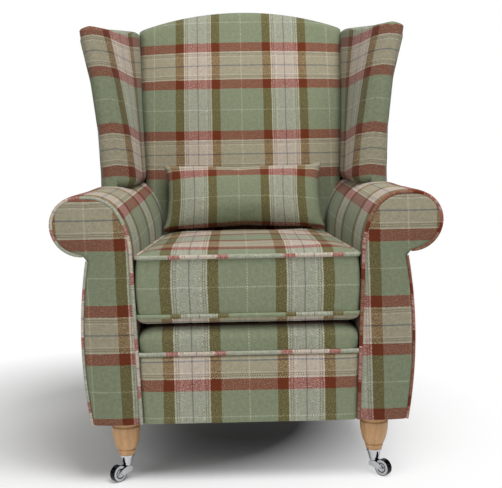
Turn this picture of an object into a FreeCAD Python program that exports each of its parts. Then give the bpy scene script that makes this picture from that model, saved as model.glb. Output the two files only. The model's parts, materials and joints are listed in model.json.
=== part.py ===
import FreeCAD, Part
import math
import os
import re

import Sketcher

# A high-backed fireside wing chair with scroll arms, a loose seat cushion, a small
# lumbar cushion, turned front legs on castors and raked square rear legs.
# +Z is up, the sitter faces -Y and +X is the right-hand side seen from the front.
# Outlines are drawn with y measured back from the arm fronts; every piece is then
# moved forward by half the depth, so that the origin is under the chair's middle.

DIMENSIONS = (
    ("half_depth", 416.7, "from the arm fronts to the middle of the chair"),
    ("gap", 0.5, "clearance between a loose piece and its neighbour"),
    ("base_z", 138.0, "underside of the upholstery"),
    ("rail_foot_z", 142.0, "underside of the timber frame"),
    ("rail_top_z", 298.0, "top of the seat rails"),
    ("rail_t", 23.0, "thickness of the beech rails"),
    ("board_t", 28.0, "thickness of the arm stumps and posts"),
    ("cover_t", 6.0, "backing board and cover of the outside panels"),
    ("frame_set", 30.0, "side and arm rails behind the arm front panels"),
    ("side_rail_x", 313.0, "inner face of the side rails at the front"),
    ("side_rail_t", 27.0, "thickness of the side rails"),
    ("arm_rail_x", 302.0, "inner face of the arm rails at the front"),
    ("arm_rail_wide", 42.0, "width of the arm rails"),
    ("arm_rail_h", 36.0, "height of the arm rails"),
    ("arm_rail_drop", 46.0, "underside of the arm rails below the notch"),
    ("arm_rail_end", 640.0, "rear end of the arm rails"),
    ("stump_inset", 14.0, "head of the arm stumps inside the arm outline"),
    ("stump_in", 4.0, "inner face of the arm stumps from the hidden face of the padding"),
    ("stump_out", 10.0, "outer face of the arm stumps inside the notch"),
    ("stump_head", 74.0, "bend of the stump's inner edge above the springing"),
    ("rail_end", 1.0, "clearance at the ends of the back rails"),
    ("back_rail_set", 35.0, "back rail of the seat behind the front of the posts"),
    ("back_rail_t", 20.0, "thickness of the back rail"),
    ("back_rail_z", 200.0, "underside of the back rail"),
    ("stay_rail_set", 64.0, "stay rail behind the foot of the posts"),
    ("stay_rail_t", 22.0, "thickness of the stay rail"),
    ("stay_rail_z", 404.0, "underside of the stay rail"),
    ("stay_rail_h", 58.0, "height of the stay rail"),
    ("top_rail_y", 776.0, "front of the arched top rail"),
    ("top_rail_drop", 24.0, "padding over the top rail"),
    ("block_h", 60.0, "height of the corner blocks"),
    ("front_block_x", 252.0, "inner face of the front corner blocks"),
    ("front_block_wide", 57.0, "width of the front corner blocks"),
    ("front_block_y", 41.0, "front of the front corner blocks"),
    ("front_block_deep", 56.5, "depth of the front corner blocks"),
    ("rear_block_x", 224.0, "inner face of the rear corner blocks"),
    ("rear_block_wide", 21.0, "width of the rear corner blocks"),
    ("rear_block_deep", 39.0, "depth of the rear corner blocks"),
    ("strap_wide", 60.0, "width of the elastic webbing"),
    ("strap_t", 2.0, "thickness of the elastic webbing"),
    ("strap_pitch", 86.0, "spacing of the front-to-back straps"),
    ("strap_set", 4.0, "start of the straps behind the arm front panels"),
    ("strap_long", 636.0, "length of the front-to-back straps"),
    ("cross_y", 130.0, "front of the first cross strap"),
    ("cross_pitch", 120.0, "spacing of the cross straps"),
    ("cross_half", 312.0, "half the length of the first cross strap"),
    ("cross_taper", 10.0, "how much each next half is shorter"),
    ("clip_lap", 1.0, "clip beyond each edge of its strap"),
    ("clip_deep", 18.0, "depth of a strap clip"),
    ("clip_t", 1.5, "thickness of a strap clip"),
    ("clip_rear_y", 632.0, "front of the rear clips"),
    ("band_z", 500.0, "lowest of the bands behind the back's padding"),
    ("band_pitch", 110.0, "spacing of those bands"),
    ("band_lap", 20.0, "length of a band on each post"),
    ("band_set", 0.4, "room between bands and posts"),
    ("pipe_r", 4.5, "radius of the piping cord"),
    ("panel_t", 12.0, "thickness of the padded arm fronts"),
    ("panel_inset", 9.0, "arm front panel inside the arm outline"),
    ("arm_foot_x", 240.0, "inner face of the arm at the floor line"),
    ("arm_in_x", 254.0, "inner face of the arm where the scroll springs"),
    ("arm_spring_z", 520.0, "height at which the scroll springs"),
    ("arm_pad_foot_z", 306.0, "lower edge of the inside arm padding"),
    ("arm_slab_x", 286.0, "hidden face of the inside arm padding"),
    ("arm_shoulder_r", 185.0, "large radius from the inner face to the shoulder"),
    ("arm_shoulder_turn", 30.0, "angle that the large radius turns through"),
    ("arm_brow_r", 82.0, "radius from the shoulder to the top of the scroll"),
    ("scroll_top_z", 653.0, "top of the arm"),
    ("scroll_out_x", 435.0, "outermost edge of the scroll"),
    ("scroll_mid_z", 588.0, "height of the scroll's widest place"),
    ("scroll_up_r", 65.0, "upper outer radius of the scroll"),
    ("scroll_low_r", 71.0, "lower outer radius of the scroll"),
    ("notch_x", 357.0, "outside arm panel where it meets the scroll"),
    ("notch_z", 508.0, "height of that meeting"),
    ("side_belly_x", 372.0, "widest place of the outside arm panel"),
    ("side_belly_z", 340.0, "height of that place"),
    ("side_foot_x", 356.0, "outside arm panel at the floor line"),
    ("arm_run_in", 0.055, "how fast the arms run in towards the back"),
    ("arm_run_up", 0.018, "how fast the arms rise towards the back"),
    ("arm_lead", 60.0, "start of the arm's outline ahead of its trimmed front"),
    ("arm_reach", 860.0, "end of the arm's outline behind the arm fronts, before trimming"),
    ("back_foot_y", 650.0, "outside back at the floor line"),
    ("back_rake", 10.4, "lean of the outside back from upright"),
    ("post_y", 597.0, "front of the rear posts at the floor line"),
    ("post_deep", 44.0, "depth of the rear posts"),
    ("post_in_x", 256.0, "inner face of the rear posts"),
    ("post_top_z", 1045.0, "top of the rear posts"),
    ("web_gap", 3.0, "room for the webbing in front of the posts"),
    ("crest_z", 1143.0, "top of the arched back"),
    ("crest_r", 894.0, "radius of the arch"),
    ("crest_round", 26.0, "rounding of the padded top edge"),
    ("back_half_x", 300.0, "half the width of the inside back before its seams"),
    ("back_seat_y", 560.0, "inside back at the cushion"),
    ("back_seat_z", 480.0, "height of that place"),
    ("back_waist_y", 620.5, "inside back at its middle"),
    ("back_waist_z", 780.0, "height of that place"),
    ("back_brow_y", 718.0, "inside back near the top"),
    ("back_brow_z", 1080.0, "height of that place"),
    ("back_low_z", 372.0, "lower edge of the inside back"),
    ("back_low_in", 4.0, "inside back at its lower edge ahead of its place at the cushion"),
    ("back_brow_run", 0.38, "how fast the inside back leans above its brow"),
    ("wing_edge", 10.0, "outside wing panel behind the wing's front edge"),
    ("wing_peak_set", 22.0, "inner peak of the wing's padding behind its front edge"),
    ("wing_brow_set", 3.0, "wing's front face behind its front edge near the peak"),
    ("wing_seam_in", 12.0, "padding beside the post at the seam"),
    ("wing_wrap_in", 8.0, "how much less of it there is above the post"),
    ("wing_board_in", 24.0, "wing board inside the outside panel's face"),
    ("wing_board_t", 18.0, "thickness of the wing board"),
    ("wing_board_set", 50.0, "wing board behind the wing's front edge"),
    ("wing_board_skew", 2.0, "how much further back its inner face starts"),
    ("wing_board_rear", 36.0, "rear of the wing board ahead of the outside back"),
    ("wing_board_rear_in", 9.0, "the same board inside the outside panel at the rear"),
    ("wing_cord_out", 3.0, "middle of the wing's cord outside its outer edge"),
    ("wing_cord_back", 6.0, "middle of the cord behind the wing's front edge"),
    ("wing_cord_brow", 8.0, "the same where the cord turns over the top"),
    ("wing_cord_turn", 22.0, "the same where it has turned"),
    ("wing_cord_rise", 3.5, "middle of the cord above the wing's cap"),
    ("wing_cord_end", 20.0, "rear end of the cord ahead of the outside back"),
    ("seam_x", 277.0, "seam between back and wing, low down"),
    ("seam_z", 702.0, "height at which that is measured"),
    ("seam_flare", 0.0503, "sideways flare of the seam for each unit of height"),
    ("side_foot_rear_x", 320.5, "half width of the outside back at the floor line"),
    ("side_top_rear_x", 318.0, "half width of the outside back at the wings"),
    ("leg_x", 284.0, "axis of the front legs"),
    ("leg_y", 44.0, "axis of the front legs behind the arm fronts"),
    ("leg_foot_z", 58.0, "underside of the turned legs"),
    ("leg_r", 32.5, "radius of the top collar of the turned legs"),
    ("leg_foot_r", 17.5, "radius of the legs at their foot"),
    ("leg_ring_r", 20.5, "radius of the ring above the foot"),
    ("leg_ring_h", 12.0, "top of that ring above the foot"),
    ("leg_groove_r", 19.0, "radius in the groove above the ring"),
    ("leg_groove_h", 3.0, "height of the groove, and of the one under the collar"),
    ("leg_waist_r", 21.5, "radius of the legs above the groove"),
    ("leg_belly_r", 29.0, "radius of the belly at its middle"),
    ("leg_belly_h", 38.0, "height of that place above the foot"),
    ("leg_brow_r", 32.0, "radius of the belly at its top"),
    ("leg_brow_h", 68.0, "height of its top above the foot"),
    ("leg_neck_r", 30.0, "radius in the groove under the collar"),
    ("rear_leg_x", 262.0, "axis of the rear legs at the top"),
    ("rear_leg_y", 619.0, "the same, behind the arm fronts"),
    ("rear_leg_out", 6.0, "sideways splay of the rear legs"),
    ("rear_leg_back", 48.0, "backward rake of the rear legs"),
    ("rear_leg_top", 42.0, "side of the rear legs at the top"),
    ("rear_leg_tip", 29.0, "side of the rear legs at the tip"),
    ("glide_h", 8.0, "height of the glides"),
    ("glide_r", 12.0, "radius of the glides"),
    ("bolt_r", 4.0, "radius of the hanger bolts"),
    ("bolt_foot_z", 100.0, "lower end of the hanger bolts"),
    ("bolt_top_z", 185.0, "upper end of the hanger bolts"),
    ("castor_turn", -46.0, "direction in which the right castor trails"),
    ("castor_trail", 26.0, "wheel centre from the swivel axis"),
    ("wheel_r", 19.0, "radius of the castor wheels"),
    ("wheel_half", 7.0, "half the width of the castor wheels"),
    ("fork_gap", 0.6, "side clearance of the wheel in its fork"),
    ("fork_t", 2.8, "thickness of the fork arms"),
    ("axle_r", 2.5, "radius of the castor axles"),
    ("run_gap", 0.05, "radial running clearance of axle and swivel pin"),
    ("pin_r", 3.2, "radius of the swivel pins"),
    ("cup_foot_z", 32.0, "lower rim of the castor cups"),
    ("cup_foot_r", 10.0, "radius of the cups at their lower rim"),
    ("cup_brow_r", 16.0, "radius of the cups under their top flange"),
    ("cup_flange_r", 17.4, "radius of the top flange"),
    ("cup_flange_t", 3.0, "thickness of the top flange"),
    ("cup_roof", 6.0, "thickness of the cups over the swivel pin"),
    ("pin_play", 1.0, "free height over the swivel pin"),
    ("race_r", 8.4, "radius of the swivel washer"),
    ("race_t", 2.6, "thickness of the swivel washer"),
    ("race_play", 0.6, "free height between washer and cup"),
    ("horn_nose", 7.5, "nose of the horn ahead of the swivel axis"),
    ("horn_open", 5.6, "start of the wheel's slot behind the swivel axis"),
    ("seat_half_x", 248.0, "half the width of the seat cushion at the front"),
    ("seat_rear_half_x", 217.0, "half the width of the seat cushion at the rear"),
    ("seat_front_y", 8.0, "front of the seat cushion"),
    ("seat_rear_y", 549.0, "rear of the seat cushion"),
    ("seat_low_z", 381.0, "lower piped edge of the seat cushion"),
    ("seat_high_z", 513.0, "upper piped edge of the seat cushion"),
    ("seat_crown", 20.0, "rise of the cushion's top between its edges"),
    ("seat_belly", 14.0, "fall of the cushion's underside between its edges"),
    ("seat_waist", 2.0, "how far the cushion's sides draw in"),
    ("seat_skin", 7.0, "wadding between the foam block and the cover's face"),
    ("lip_top_z", 364.0, "top of the padded front edge"),
    ("lip_half_x", 243.0, "half the width of the padded front edge"),
    ("lip_set", 2.0, "padded front edge behind the front border"),
    ("lip_round_deep", 28.0, "depth of the front edge's rounding"),
    ("lip_round_high", 26.0, "height of the front edge's rounding"),
    ("lip_deep", 54.0, "depth of the padded front edge"),
    ("lip_clear", 1.5, "front edge above the piping"),
    ("border_top_z", 290.5, "top of the front border"),
    ("border_y", 4.0, "front border behind the arm fronts"),
    ("band_r", 5.0, "radius of the piping above the front border"),
    ("deck_top_z", 362.0, "top of the seat platform"),
    ("deck_clear", 4.5, "seat platform above the rails"),
    ("dust_t", 2.0, "thickness of the dust cover"),
    ("zip_long", 360.0, "length of the cushion's zip"),
    ("zip_end", 12.0, "zip tape beyond each end of the zip"),
    ("zip_z", 447.0, "height of the zip"),
    ("zip_wide", 22.0, "width of the zip tape"),
    ("zip_tape_t", 1.2, "thickness of the zip tape"),
    ("slider_long", 10.0, "length of the zip slider"),
    ("slider_wide", 8.0, "width of the zip slider"),
    ("slider_t", 2.2, "thickness of the zip slider"),
    ("lumbar_half_x", 215.0, "half the width of the lumbar cushion"),
    ("lumbar_half_z", 100.0, "half the height of the lumbar cushion"),
    ("lumbar_thick", 50.0, "half the thickness of the lumbar cushion"),
    ("lumbar_draw_in", 8.0, "how far the lumbar cushion's edges draw in"),
    ("lumbar_edge", 1.5, "half the thickness at the lumbar cushion's seam"),
    ("lumbar_fullness", 1.5, "fullness of the plan view against the end view"),
    ("fill_wide", 0.72, "share of the lumbar cushion's width that its fill takes"),
    ("fill_deep", 0.45, "share of its thickness"),
    ("fill_tall", 0.55, "share of its height"),
    ("lumbar_y", 526.0, "middle of the lumbar cushion behind the arm fronts"),
    ("lumbar_z", 622.0, "height of that middle"),
    ("lumbar_lean", 27.0, "backward lean of the lumbar cushion"),
)

# Outlines of the wing from below the arm top to its cap: height, outer edge, inner
# peak of the padded front, front edge, seam on the inside back, outer rear edge, and
# how far the padding closes in behind the post towards the outside back.
WING_LEVELS = (
    ("foot", 640.0, 361.0, 274.0, 322.0, 588.0, 314.0, 0.0),
    ("elbow", 690.0, 363.0, 278.0, 338.0, 598.0, 314.0, 0.0),
    ("waist", 800.0, 372.0, 295.0, 371.0, 625.0, 315.0, 0.0),
    ("shoulder", 925.0, 392.0, 321.0, 409.0, 661.0, 317.0, 0.0),
    ("crown", 1035.0, 420.0, 346.0, 442.0, 700.0, 319.0, 0.0),
    ("brow", 1064.0, 425.0, 358.0, 452.0, 711.0, 319.0, 1.0),
    ("cap", 1082.0, 410.0, 374.0, 468.0, 719.0, 313.0, 1.0),
)
WING_SIZES = ("z", "out_x", "peak_x", "front_y", "seam_y", "rear_x", "wrap")

DOC = FreeCAD.newDocument("FiresideChair")
SHEET = DOC.addObject("Spreadsheet::Sheet", "dims")
FUNCTIONS = ("sin", "cos", "tan", "sqrt", "atan", "deg")
SUBPARTS = []


def fill_sheet():
    """Write the driving dimensions into the sheet, one alias a row."""
    rows = list(DIMENSIONS)
    for level, *sizes in WING_LEVELS:
        for word, size in zip(WING_SIZES, sizes):
            rows.append((f"wing_{level}_{word}", size, f"wing outline at the {level}: {word}"))
    for number, (alias, size, note) in enumerate(rows, start=1):
        SHEET.set(f"A{number}", note)
        SHEET.set(f"B{number}", str(size))
        SHEET.setAlias(f"B{number}", alias)
    DOC.recompute()


def bound(expression):
    """The expression with each alias pointed at the sheet."""

    def point(match):
        word = match.group(0)
        return word if word in FUNCTIONS else "dims." + word

    return re.sub(r"[a-z_][a-z_0-9]*", point, str(expression))


def size_of(expression):
    """The number that an expression of aliases comes to."""
    return float(SHEET.evalExpression(bound(expression)))


def tie(thing, **properties):
    """Bind properties to the sheet; two underscores stand for a dot."""
    for name, expression in properties.items():
        thing.setExpression(name.replace("__", "."), bound(expression))


def body_named(label, y="-half_depth"):
    """A PartDesign body whose drawing starts at the arm fronts."""
    body = DOC.addObject("PartDesign::Body", label)
    body.Label = label
    tie(body, Placement__Base__y=y)
    return body


def sketch_on(body, name, role, offset="0"):
    """A sketch on one of the body's own planes, moved along its normal."""
    plane = next(item for item in body.Origin.OriginFeatures if item.Role == role)
    sketch = body.newObject("Sketcher::SketchObject", name)
    sketch.AttachmentSupport = [(plane, "")]
    sketch.MapMode = "FlatFace"
    tie(sketch, AttachmentOffset__Base__z=offset)
    return sketch


def tie_point(sketch, geometry, end, x, y):
    """Hold one end of a sketch element at a place taken from the sheet."""
    for kind, expression in (("DistanceX", x), ("DistanceY", y)):
        rule = Sketcher.Constraint(kind, -1, 1, geometry, end, size_of(expression))
        index = sketch.addConstraint(rule)
        sketch.setExpression(f"Constraints[{index}]", bound(expression))


def draw(sketch, route, closed=True):
    """Draw lines and arcs through a route of (x, y) places.

    A place with a third item is the middle of an arc between its neighbours.
    """
    stops = [place[:2] for place in route if len(place) == 2]
    middles = {}
    for place in route:
        if len(place) == 2:
            last = stops.index(place[:2])
        else:
            middles[last] = place[:2]
    spots = [FreeCAD.Vector(size_of(x), size_of(y), 0) for x, y in stops]
    count = len(stops) if closed else len(stops) - 1
    ends = []
    for index in range(count):
        start, finish = spots[index], spots[(index + 1) % len(spots)]
        if index in middles:
            x, y = middles[index]
            middle = FreeCAD.Vector(size_of(x), size_of(y), 0)
            edge = sketch.addGeometry(Part.Arc(start, middle, finish))
            mark = sketch.addGeometry(Part.Point(middle), True)
            sketch.addConstraint(Sketcher.Constraint("PointOnObject", mark, 1, edge))
            tie_point(sketch, mark, 1, x, y)
        else:
            edge = sketch.addGeometry(Part.LineSegment(start, finish))
        first = 1 if (sketch.getPoint(edge, 1) - start).Length < 1e-6 else 2
        ends.append((edge, first, 3 - first))
    for index in range(count):
        edge, first, last = ends[index]
        tie_point(sketch, edge, first, *stops[index])
        if index + 1 < count or closed:
            following, entry, _ = ends[(index + 1) % count]
            sketch.addConstraint(
                Sketcher.Constraint("Coincident", edge, last, following, entry)
            )
    if not closed:
        edge, _, last = ends[-1]
        tie_point(sketch, edge, last, *stops[-1])
    return sketch


def rectangle(low_x, low_y, high_x, high_y):
    """The route of an upright rectangle between two corners."""
    return [(low_x, low_y), (high_x, low_y), (high_x, high_y), (low_x, high_y)]


def pad(body, sketch, length, both_ways=False, backward=False):
    """Pad a sketch of the body by a length from the sheet."""
    feature = body.newObject("PartDesign::Pad", body.Label + "_pad")
    feature.Profile = sketch
    feature.Midplane = both_ways
    feature.Reversed = backward
    tie(feature, Length=length)
    body.Tip = feature
    return feature


def turned(body, route):
    """Turn a profile in the XZ plane about the body's own Z axis."""
    sketch = draw(sketch_on(body, body.Label + "_profile", "XZ_Plane"), route)
    feature = body.newObject("PartDesign::Revolution", body.Label + "_turned")
    feature.Profile = sketch
    feature.ReferenceAxis = (sketch, ["V_Axis"])
    feature.Angle = 360
    body.Tip = feature
    return feature


def box(name, low, sizes, y_shift="-half_depth"):
    """A Part box from its low corner and its three sizes."""
    block = DOC.addObject("Part::Box", name)
    tie(block, Length=sizes[0], Width=sizes[1], Height=sizes[2])
    tie(block, Placement__Base__x=low[0], Placement__Base__z=low[2])
    tie(block, Placement__Base__y=f"({low[1]}) + ({y_shift})")
    return block


def cylinder(name, radius, height, x, y, z):
    """An upright Part cylinder."""
    rod = DOC.addObject("Part::Cylinder", name)
    tie(rod, Radius=radius, Height=height)
    tie(rod, Placement__Base__x=x, Placement__Base__y=f"({y}) - half_depth")
    tie(rod, Placement__Base__z=z)
    return rod


def cut(name, base, *tools):
    """The base with each tool taken away in turn."""
    for number, tool in enumerate(tools):
        last = number == len(tools) - 1
        result = DOC.addObject("Part::Cut", name if last else f"{name}_cut_{number}")
        result.Base = base
        result.Tool = tool
        base = result
    return base


def group(name, members):
    """Like pieces kept together under one name."""
    bundle = DOC.addObject("Part::Compound", name)
    bundle.Links = members
    return bundle


def mirrored(name, source):
    """The left-hand twin of a right-hand piece."""
    twin = DOC.addObject("Part::Mirroring", name)
    twin.Source = source
    twin.Base = (0, 0, 0)
    twin.Normal = (1, 0, 0)
    return twin


def keep(thing, label):
    """Enter a finished sub-part under its label."""
    thing.Label = label
    SUBPARTS.append(thing)
    return thing


def keep_pair(thing, stem):
    """Enter a right-hand sub-part and its left-hand twin."""
    keep(thing, stem + "_right")
    return thing, keep(mirrored(stem + "_twin", thing), stem + "_left")


def raked(y, z, rake="tan(back_rake)"):
    """The y of a leaning plane at height z, from its y at the floor line."""
    return f"({y} + ({z} - base_z) * {rake})"


def crest_at(x):
    """Height of the arched back at x."""
    return f"(crest_z - crest_r + sqrt(crest_r * crest_r - ({x}) * ({x})))"


def seam_at(z):
    """Half width of the inside back between its seams at height z."""
    return f"(seam_x + ({z} - seam_z) * seam_flare)"


def level_size(level, word):
    """The alias of one size of a wing outline."""
    return f"wing_{level}_{word}"


# Timber frame


def make_front_rail():
    body = body_named("front_rail")
    half = "(arm_slab_x + stump_in - 2 * gap)"
    route = rectangle(f"-{half}", "rail_foot_z", half, "rail_top_z")
    sketch = draw(sketch_on(body, "front_rail_face", "XZ_Plane", "-(panel_t + strap_set)"), route)
    pad(body, sketch, "rail_t", backward=True)
    keep(body, "front_rail")


def make_back_rails():
    """The back rail of the seat, and the stay rail that the back's padding ends on."""
    half = "(post_in_x - rail_end)"
    low = box(
        "back_rail_board",
        (f"-{half}", "post_y + back_rail_set", "back_rail_z"),
        (f"2 * {half}", "back_rail_t", "rail_top_z - back_rail_z"),
    )
    keep(low, "back_rail")
    stay = box(
        "stay_rail_board",
        (f"-{half}", "post_y + stay_rail_set", "stay_rail_z"),
        (f"2 * {half}", "stay_rail_t", "stay_rail_h"),
    )
    keep(stay, "stay_rail")


def rail_plan(inner, width, rear):
    """Plan of a rail that runs in towards the back with the arm."""
    front = "panel_t + frame_set"
    run = f"arm_run_in * ({rear} - ({front}))"
    outer = f"{inner} + {width}"
    return [(inner, front), (outer, front), (f"{outer} - {run}", rear), (f"{inner} - {run}", rear)]


def make_side_rails():
    body = body_named("side_rail")
    route = rail_plan("side_rail_x", "side_rail_t", "(post_y - rail_end)")
    sketch = draw(sketch_on(body, "side_rail_plan", "XY_Plane", "rail_foot_z"), route)
    pad(body, sketch, "rail_top_z - rail_foot_z")
    keep_pair(body, "side_rail")


def scroll_route(inset="0"):
    """Arcs over the scroll, from the springing of the inner face to under the roll."""
    turn = "arm_shoulder_turn"
    centre_x = "(arm_in_x + arm_shoulder_r)"
    shoulder_x = f"({centre_x} - (arm_shoulder_r - {inset}) * cos({turn}))"
    shoulder_z = f"(arm_spring_z + (arm_shoulder_r - {inset}) * sin({turn}))"
    mid_x = f"({centre_x} - (arm_shoulder_r - {inset}) * cos({turn} / 2))"
    mid_z = f"(arm_spring_z + (arm_shoulder_r - {inset}) * sin({turn} / 2))"
    brow_x = f"({centre_x} - (arm_shoulder_r - arm_brow_r) * cos({turn}))"
    brow_z = f"(arm_spring_z + (arm_shoulder_r - arm_brow_r) * sin({turn}))"
    brow = f"(arm_brow_r - {inset})"
    half_way = "(45 + arm_shoulder_turn / 2)"
    roll_x = "(scroll_out_x - scroll_up_r)"
    under_x = "(scroll_out_x - scroll_low_r)"
    return [
        (f"arm_in_x + {inset}", "arm_spring_z"),
        (mid_x, mid_z, "via"),
        (shoulder_x, shoulder_z),
        (f"{brow_x} - {brow} * cos({half_way})", f"{brow_z} + {brow} * sin({half_way})", "via"),
        (brow_x, f"scroll_top_z - {inset}"),
        (roll_x, f"scroll_top_z - {inset}"),
        (
            f"{roll_x} + (scroll_up_r - {inset}) * cos(45)",
            f"scroll_mid_z + (scroll_up_r - {inset}) * sin(45)",
            "via",
        ),
        (f"scroll_out_x - {inset}", "scroll_mid_z"),
        (
            f"{under_x} + (scroll_low_r - {inset}) * cos(45)",
            f"scroll_mid_z - (scroll_low_r - {inset}) * sin(45)",
            "via",
        ),
        (under_x, f"scroll_mid_z - scroll_low_r + {inset}"),
    ]


def side_line(inset):
    """The gently bellied outer side of the arm, from the notch to the floor line."""
    return [
        (f"notch_x - {inset}", "notch_z"),
        (f"side_belly_x - {inset}", "side_belly_z", "via"),
        (f"side_foot_x - {inset}", "base_z"),
    ]


def make_arm_stumps():
    """Front arm posts, whose heads carry the scroll."""
    body = body_named("arm_stump")
    scroll = scroll_route("stump_inset")
    inner, outer = "arm_slab_x + stump_in", "notch_x - stump_out"
    route = [
        (inner, "rail_foot_z"),
        (inner, "arm_spring_z"),
        (f"{inner} + stump_in", "arm_spring_z + stump_head", "via"),
        *scroll[4:],
        (outer, "notch_z + 2 * stump_out"),
        (outer, "rail_foot_z"),
    ]
    sketch = draw(sketch_on(body, "arm_stump_face", "XZ_Plane", "-(panel_t + gap)"), route)
    pad(body, sketch, "board_t", backward=True)
    return body


def make_arm_rails():
    body = body_named("arm_rail")
    route = rail_plan("arm_rail_x", "arm_rail_wide", "arm_rail_end")
    sketch = draw(sketch_on(body, "arm_rail_plan", "XY_Plane", "notch_z - arm_rail_drop"), route)
    pad(body, sketch, "arm_rail_h")
    keep_pair(body, "arm_rail")


def make_back_posts():
    body = body_named("back_post")
    route = [
        (raked("post_y", "rail_foot_z"), "rail_foot_z"),
        (raked("post_y", "post_top_z"), "post_top_z"),
        (raked("post_y + post_deep", "post_top_z"), "post_top_z"),
        (raked("post_y + post_deep", "rail_foot_z"), "rail_foot_z"),
    ]
    sketch = draw(sketch_on(body, "back_post_side", "YZ_Plane", "post_in_x"), route)
    pad(body, sketch, "board_t")
    keep_pair(body, "back_post")


def make_top_rail():
    """The rail between the posts, sawn to the arch of the crest."""
    body = body_named("top_rail")
    half = "(post_in_x + board_t)"
    route = [
        (f"-{half}", "post_top_z"),
        (half, "post_top_z"),
        (half, f"{crest_at(half)} - top_rail_drop"),
        ("0", "crest_z - top_rail_drop", "via"),
        (f"-{half}", f"{crest_at(half)} - top_rail_drop"),
    ]
    sketch = draw(sketch_on(body, "top_rail_face", "XZ_Plane", "-top_rail_y"), route)
    pad(body, sketch, "rail_t", backward=True)
    keep(body, "top_rail")
    return body


def make_corner_blocks(bolts):
    """Glued blocks behind the front corners, which take the leg bolts, and at the rear."""
    front = box(
        "front_block",
        ("front_block_x", "front_block_y", "rail_foot_z"),
        ("front_block_wide", "front_block_deep", "block_h"),
    )
    rear = box(
        "rear_block",
        ("rear_block_x", "post_y - rail_end - rear_block_deep", "rail_foot_z"),
        ("rear_block_wide", "rear_block_deep", "block_h"),
    )
    twins = [mirrored(block.Name + "_twin", block) for block in (front, rear)]
    blocks = group("corner_block_set", [front, rear, *twins])
    keep(cut("corner_blocks_drilled", blocks, bolts), "corner_blocks")


def make_webbing():
    """Elastic seat webbing, its front-to-back straps under the cross straps."""
    start = "panel_t + strap_set"
    seat_straps, cross_straps, back_bands = 5, 4, 5
    straps, clips = [], []
    for number in range(seat_straps):
        middle = f"{number - seat_straps // 2} * strap_pitch"
        low = (f"{middle} - strap_wide / 2", start, "rail_top_z")
        straps.append(box(f"seat_strap_{number}", low, ("strap_wide", "strap_long", "strap_t")))
        for end, y in (("front", start), ("rear", "clip_rear_y")):
            low = (f"{middle} - strap_wide / 2 - clip_lap", y, "rail_top_z + strap_t")
            sizes = ("strap_wide + 2 * clip_lap", "clip_deep", "clip_t")
            clips.append(box(f"clip_{end}_{number}", low, sizes))
    for number in range(cross_straps):
        half = f"(cross_half - {number} * cross_taper)"
        low = (f"-{half}", f"cross_y + {number} * cross_pitch", "rail_top_z + strap_t")
        straps.append(box(f"cross_strap_{number}", low, (f"2 * {half}", "strap_wide", "strap_t")))
    keep(group("seat_straps", straps), "seat_webbing")
    keep(group("strap_clips", clips), "webbing_clips")

    bands = []
    half = "(post_in_x + band_lap)"
    for number in range(back_bands):
        height = f"(band_z + {number} * band_pitch)"
        low = (f"-{half}", f"{raked('post_y', height)} - strap_t - band_set", height)
        band = box(f"back_band_{number}", low, (f"2 * {half}", "strap_t", "strap_wide"))
        lean(band)
        bands.append(band)
    keep(group("back_bands", bands), "back_webbing")


# Upholstery


def along_arm(body, route):
    """Pad a front outline along the arm, which runs in and rises a little behind the front."""
    sketch = draw(sketch_on(body, body.Label + "_outline", "XZ_Plane", "arm_lead"), route)
    pad(body, sketch, "arm_lead + arm_reach", backward=True)
    axis = FreeCAD.Vector(size_of("arm_run_up"), 0, size_of("arm_run_in"))
    body.Placement = FreeCAD.Placement(body.Placement.Base, FreeCAD.Rotation(axis, 1))
    slope = "sqrt(arm_run_in * arm_run_in + arm_run_up * arm_run_up)"
    tie(body, Placement__Rotation__Angle=f"atan({slope})")


def raked_box(name, y, width):
    """All that lies behind a plane with the rake of the back, out to a width."""
    block = box(name, ("0", y, "base_z"), (width, "400", "crest_z"))
    lean(block)
    return block


def lean(thing, angle="back_rake"):
    """Tilt a piece backward about its own X axis."""
    base = thing.Placement.Base
    turn = FreeCAD.Rotation(FreeCAD.Vector(1, 0, 0), -1)
    thing.Placement = FreeCAD.Placement(base, turn)
    tie(thing, Placement__Rotation__Angle=f"-{angle}")


def make_arms(stump):
    """Inside arms with their scrolls, front panels, piping and outside panels."""
    hidden = [
        ("notch_x - cover_t", "notch_z"),
        ("arm_slab_x", "notch_z"),
        ("arm_slab_x", "arm_pad_foot_z"),
    ]
    foot_x = "arm_foot_x + (arm_in_x - arm_foot_x) * (arm_pad_foot_z - base_z) / (arm_spring_z - base_z)"
    front = [(foot_x, "arm_pad_foot_z"), *scroll_route(), *hidden]
    block = body_named("arm_block")
    along_arm(block, front)
    past_posts = raked_box("past_posts", "post_y - web_gap - gap", "post_in_x + board_t + 1")
    past_back = raked_box("past_back", "back_foot_y - cover_t - gap", "scroll_out_x + 20")
    wide = "scroll_out_x + 60"
    ahead = box("ahead_of_arms", ("0", "-3 * arm_lead", "0"), (wide, "3 * arm_lead + panel_t", "crest_z"))
    arm = cut("arm_pad", block, ahead, past_posts, past_back, stump)
    keep_pair(arm, "arm_pad")
    keep_pair(stump, "arm_stump")

    inset = "panel_inset"
    panel = body_named("arm_front_panel")
    face = [
        (f"arm_foot_x + {inset}", "base_z"),
        *scroll_route(inset),
        *side_line(inset),
    ]
    sketch = draw(sketch_on(panel, "arm_front_face", "XZ_Plane"), face)
    pad(panel, sketch, "panel_t", backward=True)
    keep_pair(panel, "arm_front_panel")

    outside = body_named("outside_arm_block")
    strip = [
        *side_line("0"),
        ("side_foot_x - cover_t", "base_z"),
        ("side_belly_x - cover_t", "side_belly_z", "via"),
        ("notch_x - cover_t", "notch_z"),
    ]
    along_arm(outside, strip)
    keep_pair(cut("outside_arm", outside, ahead, past_back), "outside_arm")
    make_arm_piping()
    return arm


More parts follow.
